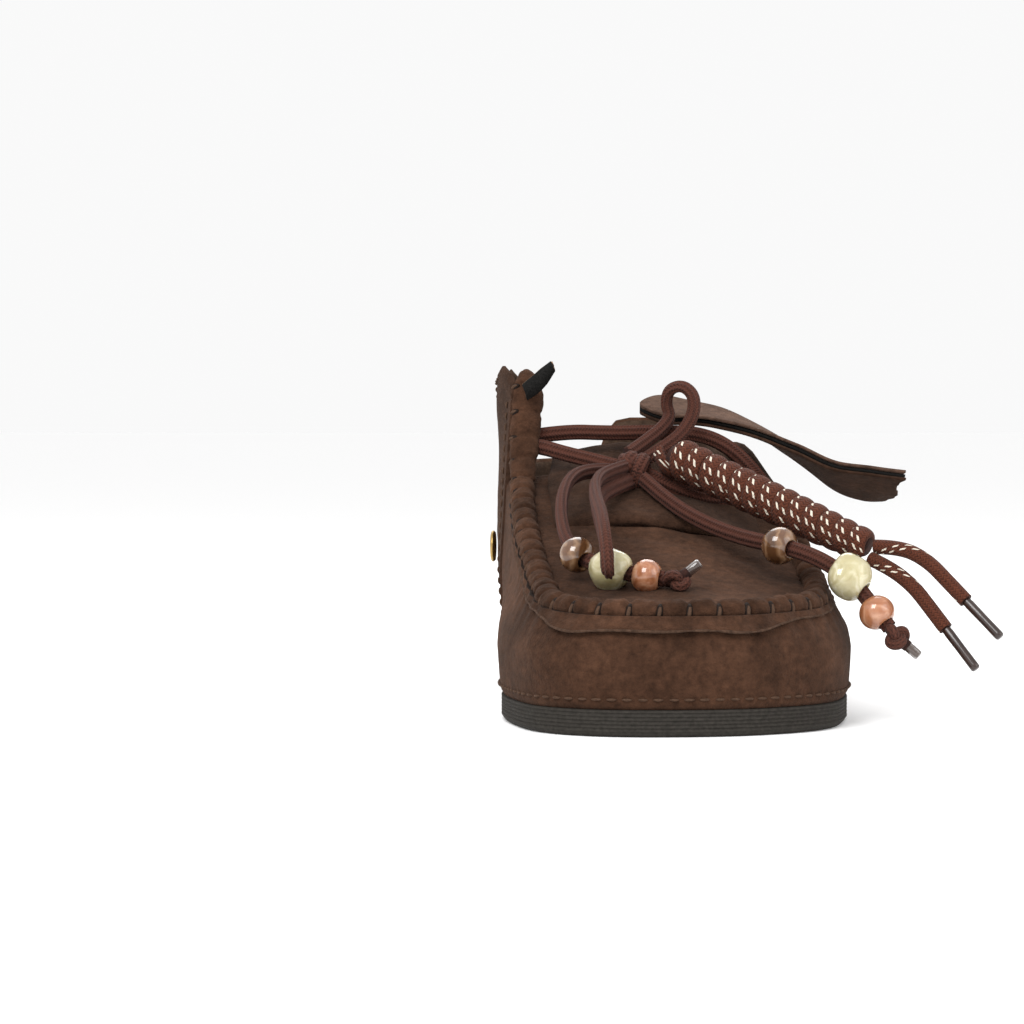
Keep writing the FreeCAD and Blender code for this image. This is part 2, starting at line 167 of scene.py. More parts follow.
def add_bump(tree, shader, heights):
    """Bumps of several heights, each (socket, depth in metres)."""
    normal = None
    for height, depth in heights:
        bump = node(tree, "ShaderNodeBump")
        bump.inputs["Strength"].default_value = 1.0
        bump.inputs["Distance"].default_value = depth
        tree.links.new(height, bump.inputs["Height"])
        if normal:
            tree.links.new(normal, bump.inputs["Normal"])
        normal = bump.outputs[0]
    tree.links.new(normal, shader.inputs["Normal"])


def suede_material(name, dark, light, sheen=0.06):
    material, tree, shader = new_material(name)
    mottle = object_noise(tree, 34, 5)
    nap = object_noise(tree, 420, 5, 0.7)
    streak = object_noise(tree, 160, 4, 0.6, (1.0, 0.35, 2.2))
    colour = ramp(tree, mottle, [(0.36, dark), (0.64, light)])
    nap_shade = ramp(tree, nap, [(0.3, (0.42, 0.42, 0.42)), (0.72, (1.5, 1.5, 1.5))])
    streak_shade = ramp(tree, streak, [(0.3, (0.72, 0.72, 0.72)), (0.7, (1.28, 1.25, 1.2))])
    colour = mix_colour(tree, 0.75, colour, nap_shade, "MULTIPLY")
    colour = mix_colour(tree, 0.45, colour, streak_shade, "MULTIPLY")
    tree.links.new(colour, shader.inputs["Base Color"])
    shader.inputs["Roughness"].default_value = 0.95
    shader.inputs["Specular IOR Level"].default_value = 0.05
    shader.inputs["Sheen Weight"].default_value = sheen
    shader.inputs["Sheen Roughness"].default_value = 0.6
    shader.inputs["Sheen Tint"].default_value = (0.75, 0.55, 0.45, 1)
    add_bump(tree, shader, [(object_noise(tree, 1300, 3, 0.7), 0.0004), (streak, 0.0006)])
    return material


def plain_material(name, colour, roughness, grain=600, depth=0.0001, variation=0.35, metallic=0.0, coat=0.0):
    material, tree, shader = new_material(name)
    speckle = object_noise(tree, grain, 4)
    low = tuple(c * (1 - variation) for c in colour)
    high = tuple(min(c * (1 + variation), 1.0) for c in colour)
    tree.links.new(ramp(tree, speckle, [(0.3, low), (0.7, high)]), shader.inputs["Base Color"])
    shader.inputs["Roughness"].default_value = roughness
    shader.inputs["Metallic"].default_value = metallic
    shader.inputs["Specular IOR Level"].default_value = 0.5 if metallic or coat else 0.12
    shader.inputs["Coat Weight"].default_value = coat
    add_bump(tree, shader, [(speckle, depth)])
    return material


UV_LENGTH = 10.0
TRACER_LEAD = 31.0
TRACER_GAP = 0.105
TRACER_HALF_WIDTH = 0.019
DASH_PITCH = 2.6
DASH_SHARE = 0.45


def cord_material(name, base, groove_shade, tracer=None, strand=0.95, lanes=8.0, rib=1.1):
    """A woven lace: chevrons along it, from its UV map, whose U is the length over UV_LENGTH."""
    material, tree, shader = new_material(name)

    def maths(operation, *values):
        return math_node(tree, operation, *values)

    uv = node(tree, "ShaderNodeUVMap", uv_map="along")
    split = node(tree, "ShaderNodeSeparateXYZ")
    tree.links.new(uv.outputs[0], split.inputs[0])
    length = maths("MULTIPLY", split.outputs[0], UV_LENGTH)
    turn = split.outputs[1]
    zigzag = maths("PINGPONG", maths("MULTIPLY", turn, lanes), 0.5)
    skewed = maths("ADD", maths("DIVIDE", length, strand), maths("MULTIPLY", zigzag, 1.6))
    weave = maths("PINGPONG", skewed, 0.5)
    height = maths("MULTIPLY_ADD", weave, 0.85, maths("MULTIPLY", zigzag, rib))
    fuzz = object_noise(tree, 900, 4)
    # Painted shade and highlight: the colour runs from the groove colour in the weave's low places to a
    # brighter colour on its raised strands.
    shade = maths("MULTIPLY_ADD", fuzz, 0.5, maths("MULTIPLY", height, 0.75))
    ridge_highlight = tuple(min(c * 1.45, 1.0) for c in base)
    colour = ramp(tree, shade, [(0.2, groove_shade), (0.5, base), (0.95, ridge_highlight)])
    if tracer:
        lines = []
        for gap in (0.0, TRACER_GAP):
            spiral = maths("FRACT", maths("MULTIPLY_ADD", length, 1 / TRACER_LEAD, maths("ADD", turn, gap)))
            off_line = maths("ABSOLUTE", maths("SUBTRACT", spiral, 0.5))
            lines.append(maths("LESS_THAN", off_line, TRACER_HALF_WIDTH))
        slant = maths("MULTIPLY_ADD", turn, 3.0, maths("DIVIDE", length, DASH_PITCH))
        dash = maths("LESS_THAN", maths("FRACT", slant), DASH_SHARE)
        colour = mix_colour(tree, maths("MULTIPLY", maths("MAXIMUM", *lines), dash), colour, tracer)
    tree.links.new(colour, shader.inputs["Base Color"])
    shader.inputs["Roughness"].default_value = 0.8
    shader.inputs["Specular IOR Level"].default_value = 0.15
    shader.inputs["Sheen Weight"].default_value = 0.03
    add_bump(tree, shader, [(height, 0.0004), (fuzz, 0.00015)])
    return material


def bead_material(name, stops, scale, distortion, wave=False):
    material, tree, shader = new_material(name)
    coordinates = node(tree, "ShaderNodeTexCoord").outputs["Object"]
    if wave:
        pattern = node(tree, "ShaderNodeTexWave")
        pattern.inputs["Scale"].default_value = scale
        pattern.inputs["Distortion"].default_value = distortion
        pattern.inputs["Detail"].default_value = 3
        pattern.inputs["Detail Scale"].default_value = 2.0
    else:
        pattern = node(tree, "ShaderNodeTexNoise")
        pattern.inputs["Scale"].default_value = scale
        pattern.inputs["Distortion"].default_value = distortion
        pattern.inputs["Detail"].default_value = 5
    tree.links.new(coordinates, pattern.inputs["Vector"])
    tree.links.new(ramp(tree, pattern.outputs[0], stops), shader.inputs["Base Color"])
    shader.inputs["Roughness"].default_value = 0.16
    shader.inputs["Subsurface Weight"].default_value = 0.25
    shader.inputs["Subsurface Radius"].default_value = (0.004, 0.003, 0.002)
    shader.inputs["Subsurface Scale"].default_value = 0.6
    shader.inputs["Coat Weight"].default_value = 0.6
    shader.inputs["Coat Roughness"].default_value = 0.06
    return material


SUEDE = suede_material("suede_brown", (0.028, 0.0128, 0.0072), (0.066, 0.031, 0.018))
# Painted shade: a darker copy of the suede for parts that lie in shadow: the medial quarter, the tongue, the
# strap's lower layer and the ear's suede face.
SUEDE_PAINTED_SHADE = suede_material("suede_shaded", (0.024, 0.012, 0.0075), (0.048, 0.024, 0.015))
SUEDE_STRAP = suede_material("suede_strap", (0.060, 0.034, 0.024), (0.105, 0.062, 0.045))
# Painted shade: near-black for the seam lip's top edge, tucked under the toe roll.
LIP_TOP_PAINTED_SHADE = plain_material("lip_top_painted_shade", (0.014, 0.008, 0.0055), 0.95, 900, 0.0002, 0.5)
LIP_EDGE = plain_material("lip_edge", (0.055, 0.031, 0.020), 0.95, 900, 0.0002, 0.5)
TAN_EDGE = plain_material("tan_edge", (0.20, 0.12, 0.07), 0.9, 900, 0.0002, 0.3)
# Black felt for the strap core and ear lining; also painted shade for the eyelet holes.
BLACK_FELT_AND_HOLE_SHADE = plain_material("black_felt_and_hole_shade", (0.008, 0.0075, 0.007), 0.97, 1400, 0.0003, 0.5)
LINING = suede_material("lining_leather", (0.040, 0.024, 0.016), (0.066, 0.041, 0.028), 0.03)
FOOTBED = plain_material("footbed_leather", (0.075, 0.045, 0.028), 0.75, 260, 0.0002, 0.25)
RUBBER = plain_material("sole_rubber", (0.031, 0.0275, 0.0235), 0.85, 900, 0.00012, 0.3)
THREAD = plain_material("seam_thread", (0.062, 0.034, 0.021), 0.75, 1500, 0.0001, 0.3)
# Dark thread for the seam chain; also painted shade for the stitch holes.
DARK_THREAD_AND_HOLE_SHADE = plain_material("dark_thread_and_hole_shade", (0.012, 0.007, 0.005), 0.7, 1500, 0.0001, 0.3)
BRASS = plain_material("aged_brass", (0.42, 0.28, 0.10), 0.35, 500, 0.00005, 0.2, 1.0)
AGLET = plain_material("aglet_film", (0.022, 0.010, 0.007), 0.3, 260, 0.00005, 0.35, 0.0, 0.25)
BOARD = plain_material("insole_board", (0.30, 0.22, 0.14), 0.9)
COUNTER = plain_material("counter_board", (0.22, 0.15, 0.10), 0.9)
# The second colour of each lace is painted shade for the weave's grooves.
LACE_CLOTH = cord_material("lace_weave", (0.062, 0.0215, 0.0140), (0.016, 0.006, 0.0045))
SPARE_CLOTH = cord_material("spare_lace_weave", (0.082, 0.0235, 0.0115), (0.020, 0.006, 0.0035),
                             (0.66, 0.60, 0.50), 1.05, 10.0, 0.35)
BROWN_BANDS = [(0.2, (0.085, 0.036, 0.014)), (0.5, (0.19, 0.10, 0.048)), (0.75, (0.25, 0.145, 0.08)),
               (0.95, (0.12, 0.055, 0.026))]
CREAM_MARBLE = [(0.3, (0.34, 0.29, 0.14)), (0.52, (0.46, 0.41, 0.24)), (0.7, (0.62, 0.58, 0.42))]
PEACH_PEARL = [(0.3, (0.24, 0.085, 0.035)), (0.5, (0.36, 0.145, 0.07)), (0.72, (0.52, 0.28, 0.17))]
BEAD_BROWN = bead_material("bead_brown", BROWN_BANDS, 55, 4.0, wave=True)
BEAD_CREAM = bead_material("bead_cream", CREAM_MARBLE, 160, 1.6)
BEAD_PEACH = bead_material("bead_peach", PEACH_PEARL, 130, 2.0)


def clear_film():
    material, _, shader = new_material("clear_film")
    shader.inputs["Base Color"].default_value = (0.085, 0.060, 0.050, 1)
    shader.inputs["Roughness"].default_value = 0.15
    shader.inputs["Transmission Weight"].default_value = 0.25
    shader.inputs["Coat Weight"].default_value = 0.5
    return material


CLEAR_FILM = clear_film()


# ---------------------------------------------------------------- meshes
def unit(vectors):
    """Vectors along the last axis, scaled to a length of one."""
    return vectors / np.linalg.norm(vectors, axis=-1, keepdims=True)


def square_axes(axis, up):
    """A direction as a unit vector, and two more square to it and to each other."""
    axis = unit(np.asarray(axis, float))
    side = unit(np.cross(axis, up))
    return axis, side, np.cross(axis, side)


def add_mesh(name, points, faces, material, body, replaced=(), uvs=None, smooth=True, extra=()):
    """A mesh piece from points in millimetres; uvs holds one pair for each corner of each face."""
    mesh = bpy.data.meshes.new(name)
    mesh.from_pydata([tuple(p) for p in np.asarray(points) * MM], [], faces)
    mesh.validate()
    mesh.materials.append(material)
    for other in extra:
        mesh.materials.append(other)
    if uvs is not None:
        layer = mesh.uv_layers.new(name="along")
        layer.data.foreach_set("uv", np.asarray(uvs, dtype=float).ravel())
    mesh.polygons.foreach_set("use_smooth", [smooth] * len(mesh.polygons))
    piece = bpy.data.objects.new(name, mesh)
    bpy.context.collection.objects.link(piece)
    if body:
        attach(piece, body)
    if replaced:
        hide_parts(*replaced)
    return piece


def grid_faces(columns, rows, wrap=False, start=0):
    """Quads of a grid stored column by column; wrap joins each column's last row to its first."""
    faces = []
    for column in range(columns - 1):
        for row in range(rows if wrap else rows - 1):
            after = (row + 1) % rows
            a = start + column * rows
            b = a + rows
            faces.append((a + row, b + row, b + after, a + after))
    return faces


def closed_shell(outer, inner):
    """Points and faces of a closed sheet from two equal grids of columns and rows."""
    columns, rows, _ = outer.shape
    loops = np.concatenate([outer, inner[:, ::-1]], axis=1)
    faces = grid_faces(columns, 2 * rows, wrap=True)
    last = (columns - 1) * 2 * rows
    for row in range(rows - 1):
        opposite = 2 * rows - 1 - row
        faces.append((row, row + 1, opposite - 1, opposite))
        faces.append((last + row, last + opposite, last + opposite - 1, last + row + 1))
    return loops.reshape(-1, 3), faces


def ripple(points, scale, seed, waves=14):
    """A smooth random field from -1 to 1 over points, with features of about scale millimetres."""
    random = np.random.RandomState(seed)
    total = np.zeros(points.shape[:-1])
    for _ in range(waves):
        direction = unit(random.normal(size=3))
        wave_number = 2 * math.pi / (scale * random.uniform(0.7, 1.6))
        total += np.sin(points @ direction * wave_number + random.uniform(0, 2 * math.pi))
    return total / math.sqrt(waves) / 1.4


# ---------------------------------------------------------------- the shoe's form
SOLE_OUTLINE = [
    (-6, -134), (-28, -130), (-43, -115), (-49, -88), (-49.5, -60),
    (-43, -20), (-36, 20), (-33, 65), (-33, 105), (-22, 128),
    (0, 135), (22, 128), (33.5, 105), (34, 65), (39, 25),
    (46, -15), (51, -55), (48.5, -85), (39, -112), (18, -129),
]
BULGE_OUTLINE = [
    (-6, -134), (-29, -130), (-44.5, -115), (-50.5, -88), (-51, -60),
    (-47, -20), (-42, 20), (-36, 65), (-34.5, 105), (-23, 128.5),
    (0, 136), (23, 128.5), (35, 105), (36, 65), (41, 25),
    (48, -15), (52.5, -55), (50, -85), (40, -112), (18, -129.5),
]
SHOULDER_OUTLINE = [
    (-5, -125), (-24, -121), (-36, -107), (-42, -85), (-45, -60),
    (-47, -20), (-45, 20), (-37, 65), (-34.5, 105), (-23, 127.5),
    (0, 134), (23, 127.5), (34, 105), (35.5, 65), (41, 25),
    (45, -15), (45, -50), (41.5, -80), (33, -104), (15, -121),
]
MOUTH_OUTLINE = [
    (-4, -96), (-18, -92), (-28, -80), (-36, -58), (-41, -35),
    (-39.5, -8), (-46, 18), (-38, 65), (-32.5, 102), (-21, 121),
    (0, 127), (20, 121), (30, 102), (32, 65), (36, 25),
    (38, -8), (36, -33), (31, -56), (24, -78), (10, -92),
]
SOLE_TOP = 7.5
FOOTBED_TOP = 13.0
LEVELS = [(SOLE_TOP, SOLE_OUTLINE), (20.0, BULGE_OUTLINE), (29.0, BULGE_OUTLINE), (37.0, SHOULDER_OUTLINE),
          (112.0, MOUTH_OUTLINE)]
SEAM_SURFACE = np.array([
    (-150, 31.5, 0.0), (-122, 32.5, 0.0), (-105, 33.5, 0.5), (-85, 36.5, 1.5),
    (-60, 43.0, 4.0), (-35, 51.5, 5.0), (-10, 61.5, 4.5), (20, 73.5, 3.5),
])
SEAM_SPAN = 45.0
MEDIAL_COLLAR = np.array([(-6, 94), (-2, 99), (2, 101.5), (11, 104), (22, 102), (29, 96), (36, 89), (46, 83),
                          (56, 78), (66, 75), (78, 73), (98, 74)])
LATERAL_COLLAR = np.array([(-6, 63), (6, 66), (20, 71), (36, 77), (46, 79.3), (56, 80), (78, 79), (98, 78)])
HEEL_TAB = np.array([(-45, 73), (-22, 74), (-8, 75), (-4.5, 77), (-2.5, 83), (1, 87), (6, 88), (14, 88),
                     (24, 83.5), (45, 77)])
MEDIAL_SEAM = 5.36
LATERAL_SEAM = -5.24
MEDIAL_HEEL = 7.78
LATERAL_HEEL = 12.22


def outline(points, where):
    """A place on a closed smooth curve through the outline's points; whole numbers are the points."""
    knots = np.asarray(points, dtype=float)
    count = len(knots)
    where = np.asarray(where, dtype=float)
    base = np.floor(where).astype(int)
    t = (where - base)[..., None]
    p0, p1, p2, p3 = (knots[(base + k) % count] for k in (-1, 0, 1, 2))
    return 0.5 * (2 * p1 + (p2 - p0) * t + (2 * p0 - 5 * p1 + 4 * p2 - p3) * t ** 2
                  + (3 * p1 - p0 - 3 * p2 + p3) * t ** 3)


def wall_at_height(where, height):
    rings = np.stack([outline(points, where) for _, points in LEVELS])
    heights = np.array([level for level, _ in LEVELS])
    height = np.clip(height, heights[0], heights[-1])
    place = np.clip(np.searchsorted(heights, height, side="right") - 1, 0, len(heights) - 2)
    part = ((height - heights[place]) / (heights[place + 1] - heights[place]))[..., None]
    columns = np.indices(where.shape)
    low = rings[(place, *columns)]
    high = rings[(place + 1, *columns)]
    return low * (1 - part) + high * part


def wall(where, height, outward=0.0):
    """Points on the upper's outer surface, with its heights' corners smoothed, moved outwards."""
    where, height = np.broadcast_arrays(np.asarray(where, float), np.asarray(height, float))
    total = 0
    offsets = (-7.5, -5.0, -2.5, 0.0, 2.5, 5.0, 7.5)
    for offset in offsets:
        total = total + wall_at_height(where, height + offset)
    flat = total / len(offsets)
    normal = wall_normal(where, height)
    moved = flat + normal[..., :2] * np.asarray(outward)[..., None]
    return np.concatenate([moved, height[..., None]], axis=-1)


def wall_normal(where, height):
    step = 0.05
    along = unit(wall_at_height(where + step, height) - wall_at_height(where - step, height))
    return np.stack([-along[..., 1], along[..., 0], np.zeros_like(along[..., 0])], axis=-1)


def seam_height(x, y):
    """Height of the surface that the toe seam lies on."""
    height = 0
    rise = 0
    offsets = (-6, -3, 0, 3, 6)
    for offset in offsets:
        height = height + np.interp(y + offset, SEAM_SURFACE[:, 0], SEAM_SURFACE[:, 1])
        rise = rise + np.interp(y + offset, SEAM_SURFACE[:, 0], SEAM_SURFACE[:, 2])
    return (height - rise * x / SEAM_SPAN) / len(offsets)


def seam_top(where):
    """Height of the vamp's top edge at places on the outline."""
    height = np.full(np.shape(where), SEAM_SURFACE[3, 1])
    for _ in range(6):
        place = wall_at_height(where, height)
        height = seam_height(place[..., 0], place[..., 1])
    return height


def collar_top(where):
    """Height of the collar's edge at places on the quarters and the heel piece."""
    place = wall_at_height(where, np.full(np.shape(where), 80.0))
    x, y = place[..., 0], place[..., 1]
    medial = np.interp(y, MEDIAL_COLLAR[:, 0], MEDIAL_COLLAR[:, 1])
    lateral = np.interp(y, LATERAL_COLLAR[:, 0], LATERAL_COLLAR[:, 1])
    heel = np.interp(x, HEEL_TAB[:, 0], HEEL_TAB[:, 1])
    side = np.where(x < 0, medial, lateral)
    blend = np.clip((y - 88) / 16, 0, 1)
    return side * (1 - blend) + heel * blend


def wall_skin(name, first, last, columns, rows, low, top, lift, thickness, material, replaced,
              seed, wrinkle=0.35, pucker=None):
    """A closed skin of the upper between two places on the outline, from a height to a top edge."""
    where = np.linspace(first, last, columns)[:, None]
    part = np.linspace(0, 1, rows)[None, :]
    height = low + (top(where) - low) * part
    where = where + 0 * height
    rounding = 0.35 * thickness * np.clip((part - 1 + 1.2 / rows) * rows / 1.2, 0, 1)
    outward = lift - 0.9 * np.exp(-(height - low) ** 2) - rounding
    surface = wall(where, height, 0.0)
    room = np.clip((height - low - 4.5) / 5, 0, 1) * np.clip((top(where) - height - 5.5) / 5, 0, 1)
    room *= np.clip((where - first) / 0.25, 0, 1) * np.clip((last - where) / 0.25, 0, 1)
    outward += wrinkle * room * (ripple(surface, 26, seed) + 0.35 * ripple(surface, 8, seed + 1))
    if pucker is not None:
        outward += pucker(where, height)
    outer = wall(where, height, outward)
    inner = wall(where, height, lift - (thickness - rounding))
    points, faces = closed_shell(outer, inner)
    return add_mesh(name, points, faces, material, "shoe", replaced)


# ---------------------------------------------------------------- the toe seam's path
PITCH = 8.0
SEAM_SAMPLES = 1400
SMOOTHING = 25
FLAP_FOOT = 4.9
ROLL_SIDES = 28
CLIMB = np.array([
    (5.0, 0.0), (5.1, 3.4), (5.2, 8.5), (5.27, 15.0), (5.31, 22.0), (5.34, 29.0), (5.37, 34.0), (5.44, 37.0),
])


def roll_line():
    """Centre of the toe roll, from the lateral throat round the toe and up the medial flap's front edge."""
    where = np.linspace(LATERAL_SEAM, CLIMB[0, 0], SEAM_SAMPLES)
    height = seam_top(where) + 2.0
    steps = np.linspace(0, len(CLIMB) - 1, SEAM_SAMPLES // 4)[1:]
    climb_where = np.interp(steps, range(len(CLIMB)), CLIMB[:, 0])
    climb_height = np.interp(steps, range(len(CLIMB)), CLIMB[:, 1]) + height[-1]
    where = np.concatenate([where, climb_where])
    height = np.concatenate([height, climb_height])
    line = wall(where, height, np.where(where > 2.5, -3.4, -2.6))
    padded = np.pad(line, ((SMOOTHING // 2, SMOOTHING // 2), (0, 0)), mode="edge")
    window = np.ones(SMOOTHING) / SMOOTHING
    smooth = np.array([np.convolve(padded[:, k], window, mode="valid") for k in range(3)]).T
    return smooth, where


def arc_lengths(line):
    return np.concatenate([[0], np.cumsum(np.linalg.norm(np.diff(line, axis=0), axis=1))])


def resample(line, step):
    lengths = arc_lengths(line)
    count = max(int(round(lengths[-1] / step)), 2) + 1
    places = np.linspace(0, lengths[-1], count)
    return np.array([np.interp(places, lengths, line[:, k]) for k in range(line.shape[1])]).T


seam_line, seam_where = roll_line()
seam_lengths = arc_lengths(seam_line)


def seam_phase(where):
    """Distance along the toe seam of a place on the outline."""
    flat = np.interp(np.ravel(where), seam_where[:SEAM_SAMPLES], seam_lengths[:SEAM_SAMPLES])
    return flat.reshape(np.shape(where))


def gather(where, height):
    """Puckers of the vamp under the seam: soft folds that fade down the wall."""
    distance = seam_phase(where)
    fall = np.exp(-((seam_top(where) - height) / 6.0) ** 2)
    toe = np.clip(1.25 - np.abs(where) / 5.5, 0.35, 1)
    return 0.45 * np.cos(2 * math.pi * distance / PITCH) * fall * toe


# ---------------------------------------------------------------- upper
SEAM_LAP = 0.04
WALL_FOOT = SOLE_TOP + 0.1
LINING_FOOT = FOOTBED_TOP - 0.3
wall_skin("vamp_suede", LATERAL_SEAM, MEDIAL_SEAM - 0.02, 560, 40, WALL_FOOT, lambda w: seam_top(w) + 0.6,
          0.0, 2.8, SUEDE, ["vamp"], 3, pucker=gather)
# The medial quarter takes the darker suede copy as painted shade.
wall_skin("medial_quarter_suede", MEDIAL_SEAM - 0.05, MEDIAL_HEEL + SEAM_LAP, 240, 60, WALL_FOOT, collar_top,
          0.6, 2.9, SUEDE_PAINTED_SHADE, ["medial_quarter"], 11)
wall_skin("lateral_quarter_suede", LATERAL_HEEL - SEAM_LAP, 20 + LATERAL_SEAM + SEAM_LAP, 240, 50, WALL_FOOT,
          collar_top, 0.6, 2.9, SUEDE, ["lateral_quarter"], 15)
wall_skin("heel_suede", MEDIAL_HEEL, LATERAL_HEEL, 260, 50, WALL_FOOT, collar_top,
          1.1, 3.3, SUEDE, ["heel_piece"], 19, 0.25)
wall_skin("quarter_lining_leather", MEDIAL_SEAM + 0.01, 20 + LATERAL_SEAM - 0.01, 360, 36, LINING_FOOT,
          lambda w: collar_top(w) - 1.0, -2.6, 1.1, LINING, ["quarter_lining"], 23, 0.1)
wall_skin("vamp_lining_leather", LATERAL_SEAM + 0.02, MEDIAL_SEAM - SEAM_LAP, 260, 20, LINING_FOOT,
          lambda w: seam_top(w) - 2.4, -2.9, 1.0, LINING, ["vamp_lining"], 27, 0.05)


def sweep_ring(line, normals, half_width, half_height, sides, lobes=None):
    """Rings round a line: half_width lies along the normals, half_height across them."""
    tangents = unit(np.gradient(line, axis=0))
    normals = unit(normals - (normals * tangents).sum(1, keepdims=True) * tangents)
    across = np.cross(tangents, normals)
    angles = np.linspace(0, 2 * math.pi, sides, endpoint=False)
    ring = np.ones((len(line), sides)) if lobes is None else lobes(angles)[None, :] * np.ones((len(line), 1))
    out = np.asarray(half_width).reshape(-1, 1) * np.cos(angles)[None, :] * ring
    over = np.asarray(half_height).reshape(-1, 1) * np.sin(angles)[None, :] * ring
    return line[:, None, :] + normals[:, None, :] * out[..., None] + across[:, None, :] * over[..., None]


def tube_faces(rings, closed=False, start=0):
    count, sides, _ = rings.shape
    faces = grid_faces(count, sides, wrap=True, start=start)
    if closed:
        last = start + (count - 1) * sides
        faces += [(last + k, start + k, start + (k + 1) % sides, last + (k + 1) % sides)
                  for k in range(sides)]
    else:
        faces.append(tuple(start + k for k in range(sides)))
        faces.append(tuple(start + (count - 1) * sides + k for k in reversed(range(sides))))
    return faces


def build_roll():
    """The gathered roll over the toe seam: it is nipped at each stitch and swells between."""
    line = resample(seam_line, 0.45)
    lengths = arc_lengths(line)
    where = np.interp(lengths, seam_lengths, seam_where)
    normals = wall_normal(where, line[:, 2])
    phase = (lengths / PITCH) % 1.0
    nip = np.exp(-((phase - 0.5) / 0.13) ** 2)
    swell = 1 - 0.32 * nip + 0.05 * ripple(line, 9, 41)
    fade = np.clip(np.minimum(lengths, lengths[-1] - lengths) / 5.0, 0.25, 1)
    on_flap = where > FLAP_FOOT
    foot_height = np.interp(-6, SEAM_SURFACE[:, 0], SEAM_SURFACE[:, 1])
    climb = np.clip((line[:, 2] - foot_height) / 30, 0, 1) * on_flap
    dome = np.sqrt(np.clip((lengths[-1] - lengths) / 7.0, 0.03, 1))
    fade = np.where(on_flap, dome, fade)
    swell = 1 - (1 - swell) * (1 - 0.65 * np.clip(climb * 3, 0, 1))
    rings = sweep_ring(line - normals * (1.6 * climb)[:, None], normals, (3.7 + 1.5 * climb) * swell * fade,
                       3.5 * swell * fade, ROLL_SIDES)
    flat = rings.reshape(-1, 3)
    centre = np.repeat(line, ROLL_SIDES, axis=0)
    radial = flat - centre
    length = np.linalg.norm(radial, axis=1, keepdims=True)
    flat = flat + radial / length * (0.20 * ripple(flat, 4.0, 43) + 0.12 * ripple(flat, 1.9, 44))[:, None]
    add_mesh("toe_roll", flat, tube_faces(rings), SUEDE, "shoe", ["moc_roll"])


build_roll()


def build_lip():
    """The raw edge of the vamp that stands out under the roll, wavy, with a darker cut rim."""
    where = np.linspace(-4.6, 4.3, 620)
    distance = seam_phase(where)
    top = seam_top(where)
    ends = np.clip(np.minimum(where + 1.75, 2.3 - where) / 1.1, 0, 1)
    ends = ends * ends * (3 - 2 * ends)
    wave = np.sin(distance / 9.0) * 0.5 + np.sin(distance / 4.1 + 1.3) * 0.35
    drop = (3.3 + 0.9 * wave) * (0.3 + 0.7 * ends)
    rows = 12
    part = np.linspace(0, 1, rows)[None, :]
    height = (top + 1.0)[:, None] - (drop + 1.0)[:, None] * part
    stand = (0.2 + (1.1 + 0.4 * wave[:, None]) * part ** 1.6) * ends[:, None] - 0.5 * (1 - ends[:, None])
    spread = where[:, None] + 0 * height
    fold = gather(spread, height) * (1 - 0.5 * part)
    outer = wall(spread, height, stand + 1.1 + fold)
    inner = wall(spread, height, stand - 0.2 + fold)
    points, faces = closed_shell(outer, inner)
    lip = add_mesh("seam_lip_suede", points, faces, SUEDE, "shoe", ["seam_lip"], extra=(LIP_TOP_PAINTED_SHADE,))
    # The top edge faces, tucked under the roll, take the near-black painted shade.
    for polygon in lip.data.polygons:
        rows_used = [index % (2 * rows) for index in polygon.vertices]
        if min(rows_used) == 0 and max(rows_used) == 2 * rows - 1:
            polygon.material_index = 1
    rim = wall(where, height[:, -1], stand[:, -1] + 0.45 + fold[:, -1])
    rings = sweep_ring(rim, wall_normal(where, height[:, -1]), 0.95, 0.4 + 0.1 * ripple(rim, 3, 47), 8)
    add_mesh("seam_lip_cut_edge", rings.reshape(-1, 3), tube_faces(rings), LIP_EDGE, "shoe")


build_lip()


# ---------------------------------------------------------------- stitches
STITCH_INSET = 0.07


def thread_dash(start, end, lift, radius, sides=7, rings=7):
    """One stitch: a short thread that arches off the surface along lift."""
    part = np.linspace(0, 1, rings)[:, None]
    line = start + (end - start) * part + lift * (np.sin(part * math.pi) ** 0.6 - 0.35)
    taper = radius * np.clip(np.sin(np.linspace(0.16, math.pi - 0.16, rings)) ** 0.5, 0.3, 1)
    return sweep_ring(line, np.repeat(lift[None, :], rings, axis=0), taper, taper, sides)


def add_stitches(name, dashes, radius, material, replaced=()):
    points, faces = [], []
    for start, end, lift in dashes:
        rings = thread_dash(np.array(start), np.array(end), np.array(lift), radius)
        faces += tube_faces(rings, start=len(points))
        points.extend(rings.reshape(-1, 3))
    add_mesh(name, points, faces, material, "shoe", replaced)


def running_stitches(name, line, normals, pitch, length, radius, material, seed=5):
    """A row of stitches along a line on the surface."""
    random = np.random.RandomState(seed)
    lengths = arc_lengths(line)
    dashes = []
    for place in np.arange(pitch / 2, lengths[-1] - pitch / 2, pitch):
        start, end = [np.array([np.interp(s, lengths, line[:, k]) for k in range(3)])
                      for s in (place - length / 2, place + length / 2 + random.uniform(-0.2, 0.2))]
        normal = np.array([np.interp(place, lengths, normals[:, k]) for k in range(3)])
        dashes.append((start, end, normal * radius * 0.9))
    add_stitches(name, dashes, radius, material)


def surface_row(where, height, outward):
    where, height = np.broadcast_arrays(np.asarray(where, float), np.asarray(height, float))
    return wall(where, height, outward), wall_normal(where, height)


def cover_lift(where):
    """How far the outer face stands off the wall's form: quarters over the vamp, heel piece over both."""
    where = np.asarray(where, float)
    quarter = np.where((where > MEDIAL_SEAM - 0.05) & (where < 20 + LATERAL_SEAM + 0.04), 0.6, 0.0)
    return np.where((where > MEDIAL_HEEL) & (where < LATERAL_HEEL), 1.1, quarter) + 0.12


